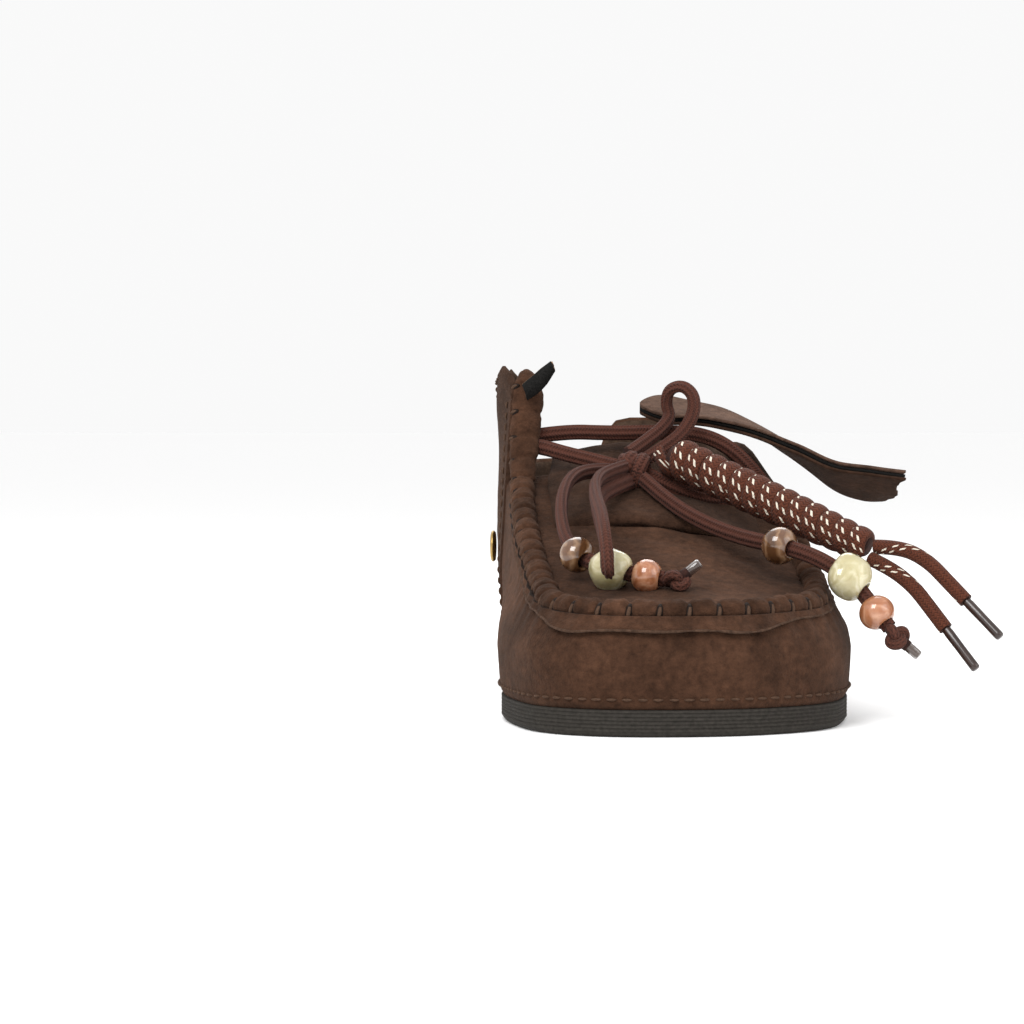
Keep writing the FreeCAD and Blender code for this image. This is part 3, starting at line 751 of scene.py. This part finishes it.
def build_stitches():
    """The whip stitches over the toe roll, and the running stitches round the sole, seams and collar."""
    seam_dashes = []
    chain_dashes = []
    hole_shade_dashes = []
    lengths = np.arange(PITCH / 2, seam_lengths[-1] - 3, PITCH)
    for place in lengths:
        centre = np.array([np.interp(place, seam_lengths, seam_line[:, k]) for k in range(3)])
        ahead = np.array([np.interp(place + 0.5, seam_lengths, seam_line[:, k]) for k in range(3)])
        where = np.interp(place, seam_lengths, seam_where)
        normal = wall_normal(np.array(where), np.array(centre[2]))
        along = unit(ahead - centre)
        down = np.cross(along, normal)
        down *= -np.sign(down[2]) if abs(down[2]) > 0.3 else 1
        skew = along * 0.35
        seam_dashes.append((centre + normal * 2.3 - down * 1.9 - skew,
                            centre + normal * 2.9 + down * 2.4 + skew, normal))
        # A wide dark dash under each whip stitch: painted shade for its hole.
        hole_shade_dashes.append((centre + normal * 1.9 - down * 2.1 - skew,
                            centre + normal * 2.3 + down * 2.5 + skew, normal * 0.6))
        low = centre + normal * 3.3 + down * 3.4
        if where < FLAP_FOOT:
            chain_dashes.append((low - along * 2.9, low + along * 2.9, normal * 0.4))
    add_stitches("whip_stitch_threads", seam_dashes, 0.62, THREAD, ["whip_stitches"])
    add_stitches("seam_chain_thread", chain_dashes, 0.5, DARK_THREAD_AND_HOLE_SHADE)
    # Painted shade: the dark dashes stand for the shaded stitch holes.
    add_stitches("stitch_hole_shade", hole_shade_dashes, 1.15, DARK_THREAD_AND_HOLE_SHADE)

    where = np.linspace(-4.9, 20 - 5.6, 900)
    line, normals = surface_row(where, 10.4, cover_lift(where))
    running_stitches("bottom_stitching", line, normals, 4.3, 2.7, 0.42, THREAD)

    for name, place in (("medial_seam_stitches", MEDIAL_SEAM + STITCH_INSET),
                        ("medial_heel_stitches", MEDIAL_HEEL + STITCH_INSET),
                        ("lateral_seam_stitches", 20 + LATERAL_SEAM - STITCH_INSET),
                        ("lateral_heel_stitches", LATERAL_HEEL - STITCH_INSET)):
        top = float(collar_top(np.array(place))) - 4.0
        line, normals = surface_row(np.full(80, place), np.linspace(12.5, top, 80), cover_lift(place))
        running_stitches(name, line, normals, 3.4, 2.3, 0.36, THREAD)
    where = np.linspace(MEDIAL_SEAM + 0.45, 20 + LATERAL_SEAM - 0.12, 500)
    line, normals = surface_row(where, collar_top(where) - 3.6, cover_lift(where))
    running_stitches("collar_stitches", line, normals, 3.6, 2.4, 0.36, THREAD)


build_stitches()


# ---------------------------------------------------------------- apron, tongue, footbed and sole
def chord_sheet(name, medial, lateral, columns, height_of, thickness, material, replaced, wobble,
                seed):
    """A sheet of chords from points on the medial side to points on the lateral side."""
    part = np.linspace(0, 1, columns)[None, :, None]
    flat = medial[:, None, :] * (1 - part) + lateral[:, None, :] * part
    rows_part = np.linspace(0, 1, len(medial))[:, None]
    height = height_of(flat[..., 0], flat[..., 1], part[..., 0], rows_part)
    upper = np.stack([flat[..., 0], flat[..., 1], height], axis=-1)
    upper[..., 2] += wobble * ripple(upper, 17, seed) + 0.3 * wobble * ripple(upper, 6, seed + 1)
    lower = upper - np.array([0, 0, thickness])
    points, faces = closed_shell(upper, lower)
    add_mesh(name, points, faces, material, "shoe", replaced)


def inner_line(where, inset):
    height = seam_top(where)
    return wall(where, height, -inset)[:, :2]


def build_apron():
    rows = 170
    share = (1 - np.linspace(0, 1, rows)) ** 0.8
    medial = inner_line(MEDIAL_SEAM * share + 0.02, 4.2)
    lateral = inner_line(LATERAL_SEAM * share - 0.02, 4.2)

    def height_of(x, y, across, along):
        crown = np.sin(math.pi * across) ** 0.8 * (5.6 - 3.2 * along)
        crease = 0.45 * np.exp(-((y + 50 + 0.25 * x) / 3.0) ** 2)
        crease = crease + 0.35 * np.exp(-((y + 58 - 0.1 * x) / 2.4) ** 2)
        return seam_height(x, y) + 0.2 + crown - crease * np.sin(math.pi * across)

    chord_sheet("apron_suede", medial, lateral, 120, height_of, 2.0, SUEDE, ["apron"], 0.35, 51)


def build_tongue():
    rows = 90
    place = np.linspace(-41, 11, rows)
    half = 31.5 - 3.0 * np.clip((place + 10) / 20, 0, 1)
    middle = -1.0 + 0 * place
    medial = np.stack([middle - half, place], axis=1)
    lateral = np.stack([middle + half, place], axis=1)

    def height_of(x, y, across, along):
        crown = np.sin(math.pi * across) ** 0.8 * 6.2
        front = 2.2 * np.clip((y + 41) / 3.0, 0, 1) ** 0.5
        fold = 0.5 * np.sin((y + 0.5 * x) / 5.0) * np.sin(math.pi * across)
        return seam_height(x, y) + 1.0 + crown + front + fold

    # The tongue takes the darker suede copy as painted shade.
    chord_sheet("tongue_suede", medial, lateral, 90, height_of, 2.0, SUEDE_PAINTED_SHADE, ["tongue"], 0.4, 57)


def flat_outline(points, inset, count):
    where = np.linspace(0, len(points), count, endpoint=False)
    line = outline(points, where)
    along = unit(np.roll(line, -1, axis=0) - np.roll(line, 1, axis=0))
    return line + np.stack([along[:, 1], -along[:, 0]], axis=1) * inset


def build_footbed():
    rows = 120
    share = np.linspace(0.03, 0.985, rows)
    edge = flat_outline(SOLE_OUTLINE, 5.2, 2000)
    places = np.linspace(0, len(SOLE_OUTLINE), len(edge))
    medial, lateral = [np.stack([np.interp(where, places, edge[:, k]) for k in (0, 1)], axis=1)
                       for where in (share * 10, 20 - share * 10)]

    def height_of(x, y, across, along):
        return FOOTBED_TOP - 0.9 * np.sin(math.pi * across) * np.exp(-((y - 95) / 35) ** 2)

    chord_sheet("footbed_leather", medial, lateral, 60, height_of, 2.6, FOOTBED, ["footbed"],
                0.1, 61)


def build_outsole():
    """Thin rubber sole with fine ribs round its edge."""
    count = 640
    profile = [(0.0, 2.2), (0.25, 1.1), (0.9, 0.45)]
    rib = 1.05
    for index in range(6):
        base = 1.3 + index * rib
        profile += [(base, 0.28), (base + 0.30, 0.0), (base + 0.60, 0.0), (base + 0.85, 0.28)]
    profile += [(7.35, 0.2), (SOLE_TOP, 0.8)]
    rings = [np.column_stack([flat_outline(SOLE_OUTLINE, inset, count), np.full(count, height)])
             for height, inset in profile]
    points = np.stack(rings, axis=0)
    faces = []
    for row in range(len(profile) - 1):
        for column in range(count):
            after = (column + 1) % count
            low, high = row * count, (row + 1) * count
            faces.append((low + column, high + column, high + after, low + after))
    flat = list(points.reshape(-1, 3))
    for row, flip in ((0, False), (len(profile) - 1, True)):
        for column in range(count // 2 - 1):
            a = row * count + column
            b = row * count + column + 1
            c = row * count + (count - 2 - column)
            d = row * count + (count - 1 - column)
            faces.append((a, d, c, b)[::-1] if flip else (a, d, c, b))
    add_mesh("rubber_outsole", flat, faces, RUBBER, "shoe", ["outsole"], smooth=False)


build_apron()
build_tongue()
build_footbed()
build_outsole()


# ---------------------------------------------------------------- strap and ear
def smooth_line(points, count):
    """A smooth open line through given points."""
    knots = np.asarray(points, float)
    padded = np.vstack([2 * knots[0] - knots[1], knots, 2 * knots[-1] - knots[-2]])
    where = np.linspace(0, len(knots) - 1 - 1e-6, count)
    base = np.floor(where).astype(int)
    t = (where - base)[:, None]
    p0, p1, p2, p3 = (padded[base + k] for k in (0, 1, 2, 3))
    return 0.5 * (2 * p1 + (p2 - p0) * t + (2 * p0 - 5 * p1 + 4 * p2 - p3) * t ** 2
                  + (3 * p1 - p0 - 3 * p2 + p3) * t ** 3)


STRAP_NEAR = [
    (0, 24, 87.8), (7, 20, 87), (22, 12, 86), (35.3, 3.9, 83), (45, -3, 78.5), (57, -10, 73), (68, -13, 71),
    (77.5, -13, 70),
]
STRAP_FAR = [
    (0, 40, 93.2), (8, 43, 94), (23, 37, 90), (36.3, 28.9, 84.4), (46, 21, 77.5), (58, 13, 67),
    (68, 10, 63.5), (75.5, 9, 63),
]


def build_strap():
    """Three bonded layers, twisted along their length: suede, black core, suede."""
    columns, rows = 220, 40
    near = smooth_line(STRAP_NEAR, columns)
    far = smooth_line(STRAP_FAR, columns)
    lengths = arc_lengths((near + far) / 2)
    round_end = np.clip(lengths / 11.0, 0, 1)
    width = np.sqrt(np.clip(1 - (1 - round_end) ** 2, 0.02, 1))
    across = np.linspace(-1, 1, rows)[None, :, None]
    middle = (near + far)[:, None, :] / 2
    half = (far - near)[:, None, :] / 2 * width[:, None, None]
    end_share = np.clip((lengths - lengths[-1] + 14) / 14, 0, 1)[:, None]
    ragged = 1.1 * np.sin(across[..., 0] * 4.0 + 0.6) + 0.25 * np.sin(across[..., 0] * 17.0)
    direction = unit(np.gradient((near + far) / 2, axis=0))
    # The lower suede layer takes the darker suede copy as painted shade on the strap's underside.
    layers = (("strap_lower_suede", "strap_lower_suede", -1.8, -0.55, SUEDE_PAINTED_SHADE, 0.0, "suede"),
              ("strap_black_core", "strap_core", -0.65, 0.65, BLACK_FELT_AND_HOLE_SHADE, -0.12, "strap_core"),
              ("strap_upper_suede", "strap_upper_suede", 0.55, 1.8, SUEDE_STRAP, 0.06, "suede"))
    for name, node_name, low, high, material, grow, slot_name in layers:
        sheet = middle + half * across * (1 + grow * 0.3)
        sheet = sheet + direction[:, None, :] * (ragged * end_share * (0.6 if grow else 1.0))[..., None]
        along = np.gradient(sheet, axis=0)
        side = np.gradient(sheet, axis=1)
        normal = np.cross(along, side)
        normal /= np.linalg.norm(normal, axis=-1, keepdims=True) + 1e-9
        wave = 0.5 * ripple(sheet, 22, 63)[..., None]
        edge = 1 - np.abs(across) ** 10 * 0.35
        level, rise = (low + high) / 2, (high - low) / 2 * edge
        top = sheet + normal * (level + rise + wave)
        bottom = sheet + normal * (level - rise + wave)
        points, faces = closed_shell(top, bottom)
        piece = add_mesh(name, points, faces, material, None,
                         [node_name + "_root", node_name + "_free"])
        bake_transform(piece)


def build_ear():
    """The curled tip of the medial flap: black lining, with a pale cut edge."""
    low = smooth_line([(-38.6, -4.6, 93.5), (-36, -5.2, 95.3), (-33, -6, 98.2), (-30.4, -7.2, 102.4)], 40)
    high = smooth_line([(-39.6, -4.6, 97.5), (-37, -4.9, 99.8), (-34, -5.8, 102.6), (-31, -7.6, 104.8)], 40)
    part = np.linspace(0, 1, 14)[None, :, None]
    curl = np.array([0, -1, 0]) * (np.sin(part * math.pi) * 1.5)
    sheet = low[:, None, :] * (1 - part) + high[:, None, :] * part + curl
    normal = unit(np.cross(np.gradient(sheet, axis=0), np.gradient(sheet, axis=1)))
    sheet = sheet + 0.25 * normal * ripple(sheet, 7, 67)[..., None]
    # The ear's suede face takes the darker suede copy as painted shade.
    for name, front, back, material, slot_name, nodes in (
            ("ear_lining", 0.75, 0.1, BLACK_FELT_AND_HOLE_SHADE, "strap_core", ["medial_ear"]),
            ("ear_suede", 0.1, -0.6, SUEDE_PAINTED_SHADE, "suede", [])):
        points, faces = closed_shell(sheet + normal * front, sheet + normal * back)
        add_mesh(name, points, faces, material, "shoe", nodes)
    lifted = sheet + normal * 0.3
    rim = np.concatenate([lifted[:, -1], lifted[::-1, 0][:14]])
    rings = sweep_ring(rim, np.tile([[0.0, -1.0, 0.0]], (len(rim), 1)), 0.38, 0.38, 8)
    add_mesh("ear_cut_edge", rings.reshape(-1, 3), tube_faces(rings), TAN_EDGE, "shoe")


build_strap()
build_ear()

# ---------------------------------------------------------------- laces
LACE_BAR = [
    (-39.5, 1, 81.5), (-27, 1.5, 83.6), (-12, 2, 83), (4, 2, 83.4), (18, 2.2, 82.6), (29, 4, 76),
    (35.5, 7, 68),
]
STRAND_MEDIAL = [
    (-38.5, 1, 79.6), (-33, -5.5, 78.6), (-28, -8.5, 77), (-20, -12, 75), (-12.6, -16.8, 73),
    (-8.5, -19.5, 72.2),
]
STRAND_LATERAL = [(-3.5, -20.6, 71), (8, -23.2, 64.6), (19, -22, 62.4), (28, -15, 65), (33, -7, 67.5)]
LOOP_BACK = [
    (-5, -14.8, 73.8), (3.5, -10, 78.5), (10, -6.5, 83.5), (13.3, -5, 89.5), (13.2, -4.5, 95),
    (9.6, -3.5, 98), (5.6, -1.5, 96.5), (5, 0.5, 92), (6.5, 0, 88), (3, -4.5, 84), (-3.5, -10, 79.5),
    (-8.3, -15.4, 76.6),
]
LOOP_FRONT = [
    (-10.5, -25.5, 72.5), (-17, -36, 71), (-21, -49, 69), (-22.5, -63, 66), (-23, -77, 63.2),
    (-23, -90, 60.6), (-23, -100.5, 56.5), (-22.8, -106.5, 50.5), (-22.4, -106.5, 44.5),
    (-22.2, -101.5, 45), (-22, -100, 50.5), (-22.3, -91, 54.6), (-22.2, -77, 58.2), (-21.6, -62, 61.2),
    (-20.2, -48, 64), (-16.5, -36, 66.3), (-8, -23, 69),
]
END_MEDIAL = [
    (-13.4, -21.5, 71.5), (-21, -29, 72), (-28, -41, 70), (-31.5, -54, 64.5), (-32.5, -66, 57.5),
    (-31.5, -76, 51.5), (-28, -84.5, 47.6), (-20.4, -90.4, 44.4), (-11.5, -93.8, 42.8), (-5.2, -95.5, 41.9),
]
END_LATERAL = [
    (-4.5, -25.7, 69.2), (2, -37, 62.5), (11, -50, 56.5), (21, -62, 52.5), (31, -74.5, 50.6), (41, -84, 47.3),
    (49.5, -91, 41), (55, -95, 33.4), (58.9, -97.6, 28),
]
SPARE_END_UPPER = [(57.6, -80.6, 50.4), (64, -85, 50.5), (71, -90, 47), (77, -95, 40), (80.8, -98, 35.6)]
SPARE_END_LOWER = [(56, -81.5, 47), (61, -86, 44.5), (67, -90, 39.5), (71.5, -94, 33), (75.2, -97, 27.6)]
BUNDLE_LEAD = np.array([0.5, -21.0, 77.0])
BUNDLE_START = np.array([4, -22, 76.6])
BUNDLE_END = np.array([56.6, -79.6, 49.6])
KNOT_CENTRE = np.array([-7.0, -20.0, 72.0])
LACE_STEP = 0.55
FIRST_NORMAL = (0.2, -0.3, 1.0)


def nurbs_path(points):
    """Points along the smooth NURBS line of a route, in millimetres."""
    curve = bpy.data.curves.new("route", "CURVE")
    curve.dimensions = "3D"
    curve.resolution_u = 24
    spline = curve.splines.new("NURBS")
    spline.points.add(len(points) - 1)
    for control, place in zip(spline.points, points):
        control.co = (*(Vector(place) * MM), 1)
    spline.order_u = 3
    spline.use_endpoint_u = True
    carrier = bpy.data.objects.new("route", curve)
    bpy.context.collection.objects.link(carrier)
    bpy.context.view_layer.update()
    line_mesh = bpy.data.meshes.new_from_object(carrier)
    line = np.array([vertex.co[:] for vertex in line_mesh.vertices]) / MM
    bpy.data.objects.remove(carrier)
    bpy.data.curves.remove(curve)
    bpy.data.meshes.remove(line_mesh)
    return line


def transported_normals(line):
    """Normals carried along a line without twisting."""
    tangents = unit(np.gradient(line, axis=0))
    normals = np.zeros_like(line)
    normal = np.array(FIRST_NORMAL)
    for index, tangent in enumerate(tangents):
        normal = normal - tangent * normal.dot(tangent)
        normal = unit(normal)
        normals[index] = normal
    return normals


def rib_lobes(count, depth):
    return lambda angles: 1 - depth * (0.5 - 0.5 * np.cos(count * angles)) ** 3


def lace_tube(name, line, body, material, replaced, half_width, half_height, lobes, normals=None,
              closed=False, sides=32, marks=None):
    """A ribbed lace along a line, with its UV map along it."""
    if normals is None:
        normals = transported_normals(line)
    rings = sweep_ring(line, normals, half_width, half_height, sides, lobes)
    faces = tube_faces(rings, closed)
    lengths = arc_lengths(line) if marks is None else marks
    uvs = []
    for face in faces:
        if len(face) > 4:
            uvs += [(0.0, 0.0)] * len(face)
            continue
        sides_used = [index % sides for index in face]
        for index, side in zip(face, sides_used):
            turn = side if not (side == 0 and sides - 1 in sides_used) else sides
            uvs.append((lengths[index // sides] / UV_LENGTH, turn / sides))
    return add_mesh(name, rings.reshape(-1, 3), faces, material, body, replaced, uvs)


def lay_cord(name, route, body, replaced, spare=False, wide=2.45, thick=1.85):
    """A lace along its route."""
    line = resample(nurbs_path(route), LACE_STEP)
    if spare:
        piece = lace_tube(name, line, body, SPARE_CLOTH, replaced, 2.15, 2.05, None)
    else:
        piece = lace_tube(name, line, body, LACE_CLOTH, replaced, wide, thick, rib_lobes(8, 0.17))


def lathe(name, centre, axis, profile, material, body, replaced, sides, shape=None, holed=False):
    """A turned piece from pairs of distance along the axis and radius; holed joins its ends round a hole."""
    axis, side, other = square_axes(axis, (0.0, 0.3, 1.0))
    angles = np.linspace(0, 2 * math.pi, sides, endpoint=False)
    radial = np.cos(angles)[:, None] * side + np.sin(angles)[:, None] * other
    rings = np.array([centre + axis * along + radius * radial for along, radius in profile])
    if shape is not None:
        rings = shape(rings, np.asarray(centre))
    return add_mesh(name, rings.reshape(-1, 3), tube_faces(rings, holed), material, body, replaced)


def node_centre(name):
    low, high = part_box(name)
    return (np.array(low) + np.array(high)) / 2 / MM


def node_radius(name):
    low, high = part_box(name)
    return float(np.max(np.array(high) - np.array(low))) / 2 / MM


BORE = 2.3


def build_bead(node_name, line, body, material, squash, lumps, seed):
    """A glass bead threaded on a lace, as big as its CAD node, a little flatter along its bore."""
    centre = node_centre(node_name)
    radius = node_radius(node_name)
    nearest = int(np.argmin(np.linalg.norm(line - centre, axis=1)))
    nearest = min(max(nearest, 2), len(line) - 3)
    axis = line[nearest + 2] - line[nearest - 2]
    mouth = math.asin((BORE + 0.3) / radius)
    arc = np.linspace(mouth, math.pi - mouth, 40)
    profile = [(-radius * squash * math.cos(a), radius * math.sin(a)) for a in arc]
    reach = radius * squash * math.cos(mouth)
    profile += [(reach - 0.35, BORE), (0.0, BORE - 0.1), (-reach + 0.35, BORE)]

    def shape(rings, middle):
        away = rings - middle
        distance = np.linalg.norm(away, axis=-1, keepdims=True)
        weight = np.clip((distance - BORE - 0.6) / 2, 0, 1)
        return rings + away / distance * (lumps * ripple(rings, 9, seed))[..., None] * weight

    return lathe(node_name + "_glass", centre, axis, profile, material, body, [node_name], 56,
                 shape, holed=True)


def trefoil(centre, size, tilt, count=160):
    """The closed centreline of an overhand knot."""
    t = np.linspace(0, 2 * math.pi, count, endpoint=False)
    line = np.stack([np.sin(t) + 2 * np.sin(2 * t), np.cos(t) - 2 * np.cos(2 * t), -1.25 * np.sin(3 * t)],
                    axis=1)
    about_x, about_y, about_z = (Matrix.Rotation(angle, 3, name) for angle, name in zip(tilt, "XYZ"))
    rotation = about_z @ about_y @ about_x
    turned = np.array([rotation @ Vector(place) for place in line])
    return np.asarray(centre) + turned * size / 3.0


def build_knot(name, node_name, centre, size, thickness, tilt, body):
    line = trefoil(centre, size, tilt)
    normals = line - np.asarray(centre)
    normals = unit(normals)
    return lace_tube(name, line, body, LACE_CLOTH, [node_name], thickness * 0.5, thickness * 0.56,
                     rib_lobes(6, 0.15), normals, closed=True, sides=20)


def build_wraps(name, centre, axis, radius, places, body):
    """Bands of lace wound round the knot."""
    axis, side, other = square_axes(axis, (0.0, 0.0, 1.0))
    for index, (along, tilt, grow) in enumerate(places):
        angles = np.linspace(0, 2 * math.pi, 90, endpoint=False)
        radial = np.cos(angles)[:, None] * side + 1.12 * np.sin(angles)[:, None] * other
        line = centre + axis * along + radial * radius * grow + axis * (np.sin(angles + 0.6) * tilt)[:, None]
        lace_tube("%s_%d" % (name, index), line, body, LACE_CLOTH, (), 1.6, 2.3, rib_lobes(8, 0.17),
                  radial, closed=True)


def build_tip(name, node_name, direction, body, material, radius, length):
    """A tip or aglet: a wrapped film with a soft mouth and a closed end."""
    centre = node_centre(node_name)
    half = length / 2
    profile = [(-half, 0.05), (-half, radius * 0.92), (-half + 0.3, radius), (-half + 1.2, radius * 0.97),
               (-half + 1.5, radius * 1.03), (0, radius * 0.98), (half - 1.4, radius),
               (half - 0.5, radius * 0.97), (half - 0.1, radius * 0.8), (half, 0.05)]
    return lathe(name, centre, direction, profile, material, body, [node_name], 24)


def build_laces():
    """The tied lace: its knot, bar, strands and loops, and its two beaded ends."""
    bow = build_knot("bow_knot_lace", "bow_knot", KNOT_CENTRE, 4.1, 4.2, (1.2, 0.35, 0.4), "shoe")
    build_wraps("bow_knot_wrap", KNOT_CENTRE, (0.85, -0.25, -0.45), 4.1,
                ((1.9, 0.6, 1.0), (-2.2, -0.4, 0.80)), "shoe")
    for run, route, lay, with_pieces in (
            ("lace_bar", LACE_BAR, "taut", ()), ("lace_strand_medial", STRAND_MEDIAL, "taut", (bow,)),
            ("lace_strand_lateral", STRAND_LATERAL, "taut", ()), ("bow_loop_back", LOOP_BACK, "loose", ())):
        lay_cord(run + "_cord", route, "shoe", [run])
    lay_cord("bow_loop_front_cord", LOOP_FRONT, "lace_front", ["bow_loop_front"],
             wide=2.75, thick=1.75)
    for side, route, body, tilt in (("medial", END_MEDIAL, "lace_front", (0.4, 0.2, 1.0)),
                                    ("lateral", END_LATERAL, "lace_side", (1.0, 0.5, 0.3))):
        line = resample(nurbs_path(route), LACE_STEP)
        on_lace = [build_bead("%s_%s" % (kind, side), line, body, material, squash, lumps, seed)
                   for kind, material, squash, lumps, seed in (("bead_brown", BEAD_BROWN, 0.94, 0.12, 71),
                                                               ("bead_cream", BEAD_CREAM, 1.0, 0.5, 77),
                                                               ("bead_peach", BEAD_PEACH, 0.92, 0.1, 83))]
        knot_name, tip_name = "stopper_knot_" + side, "lace_tip_" + side
        knot_place = node_centre(knot_name)
        knot = build_knot(knot_name + "_lace", knot_name, knot_place, 3.0, 2.9, tilt, body)
        direction = node_centre(tip_name) - knot_place
        tip = build_tip(tip_name + "_film", tip_name, direction, body, CLEAR_FILM, 1.5, 4.5)
        reach = float(np.linalg.norm(direction))
        stub_profile = [(0.0, 0.05), (0.1, 1.7), (reach - 2.0, 1.65), (reach - 1.4, 0.05)]
        stub = lathe("lace_stub_" + side, knot_place, direction, stub_profile, LACE_CLOTH, body, (),
                     20)
        lay_cord("lace_end_%s_cord" % side, route, body, ["lace_end_" + side])


def build_spare_lace():
    """Spare lace wound round itself, with its two tipped ends."""
    turns = 13
    per_turn = 12
    looseness = 0.16
    axis, side, other = square_axes(BUNDLE_END - BUNDLE_START, (0.0, 0.0, 1.0))
    length = np.linalg.norm(BUNDLE_END - BUNDLE_START)
    slack = np.random.RandomState(91).uniform(-looseness, looseness, turns + 1)
    points = [BUNDLE_LEAD]
    for index in range(turns * per_turn + 1):
        turn = index / per_turn
        share = turn / turns
        radius = 5.15 - 1.35 * share ** 1.3 + float(np.interp(turn, range(turns + 1), slack))
        angle = 2 * math.pi * turn + 0.6
        shift = 0.35 * float(np.interp(turn, range(turns + 1), slack[::-1])) / looseness
        along = 2.6 + share * (length - 5.0) + shift
        outward = math.cos(angle) * side + math.sin(angle) * other
        points.append(BUNDLE_START + axis * along + radius * outward)
    line = resample(nurbs_path(points), 0.6)
    away = line - BUNDLE_START
    radial = away - (away @ axis)[:, None] * axis
    angle = np.unwrap(np.arctan2(radial @ other, radial @ side))
    marks = TRACER_LEAD * (angle / (2 * math.pi) + 0.03 + 0.5)
    lengths = arc_lengths(line)
    start = int(np.argmax(away @ axis > 3.0))
    marks[:start] = marks[start] - 0.8 * (lengths[start] - lengths[:start])
    wound = lace_tube("spare_lace_wound", line, "spare_lace", SPARE_CLOTH,
                      ["spare_lace_bundle"], SPARE_WRAP / 4, SPARE_WRAP / 2, None, radial, sides=24,
                      marks=marks)
    core_profile = [(2.0, 0.05), (2.2, 4.2), (length - 2.2, 3.0), (length - 2.0, 0.05)]
    lathe("spare_lace_core", BUNDLE_START, axis, core_profile, SPARE_CLOTH, "spare_lace", (),
          24)
    for end, route in (("upper", SPARE_END_UPPER), ("lower", SPARE_END_LOWER)):
        direction = np.array(route[-1]) - np.array(route[-2])
        aglet = build_tip("aglet_%s_film" % end, "aglet_" + end, direction, "spare_lace", AGLET, 1.4,
                          15.0)
        lay_cord("spare_lace_end_%s_cord" % end, route, "spare_lace", ["spare_lace_end_" + end],
                 spare=True)


def build_eyelets():
    """A brass ring round a hole on each side, with a black disc in the hole as painted shade."""
    ring = [(-0.9, 2.6), (-0.2, 2.75), (0.35, 3.2), (0.6, 3.9), (0.4, 4.6), (0.0, 5.0), (-0.4, 4.9),
            (-0.9, 4.4)]
    hole = [(-0.9, 0.05), (-0.5, 2.6), (-0.45, 0.05)]
    for name, axis in (("medial_side_eyelet", (-1.0, 0.13, 0.0)), ("lateral_side_eyelet", (1.0, 0.1, 0.08))):
        centre = node_centre(name)
        lathe(name + "_ring", centre, axis, ring, BRASS, "shoe", [name], 40, holed=True)
        # The black disc in the hole is painted shade.
        lathe(name + "_hole", centre, axis, hole, BLACK_FELT_AND_HOLE_SHADE, "shoe", (), 32)


build_laces()
build_spare_lace()
build_eyelets()

# ---------------------------------------------------------------- hidden CAD pieces and the floor
for name, material in (("insole_board", BOARD), ("heel_counter", COUNTER)):
    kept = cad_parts[name]
    kept.data.materials.clear()
    kept.data.materials.append(material)


def build_floor():
    mesh = bpy.data.meshes.new("floor")
    reach = 25.0
    corners = [(-reach, -reach, 0), (reach, -reach, 0), (reach, reach, 0), (-reach, reach, 0)]
    mesh.from_pydata(corners, [], [(0, 1, 2, 3)])
    material, _, shader = new_material("pale_floor")
    shader.inputs["Base Color"].default_value = (0.93, 0.93, 0.93, 1)
    shader.inputs["Roughness"].default_value = 0.9
    shader.inputs["Emission Color"].default_value = (1, 1, 1, 1)
    shader.inputs["Emission Strength"].default_value = 0.07
    mesh.materials.append(material)
    floor = bpy.data.objects.new("floor", mesh)
    bpy.context.collection.objects.link(floor)


build_floor()
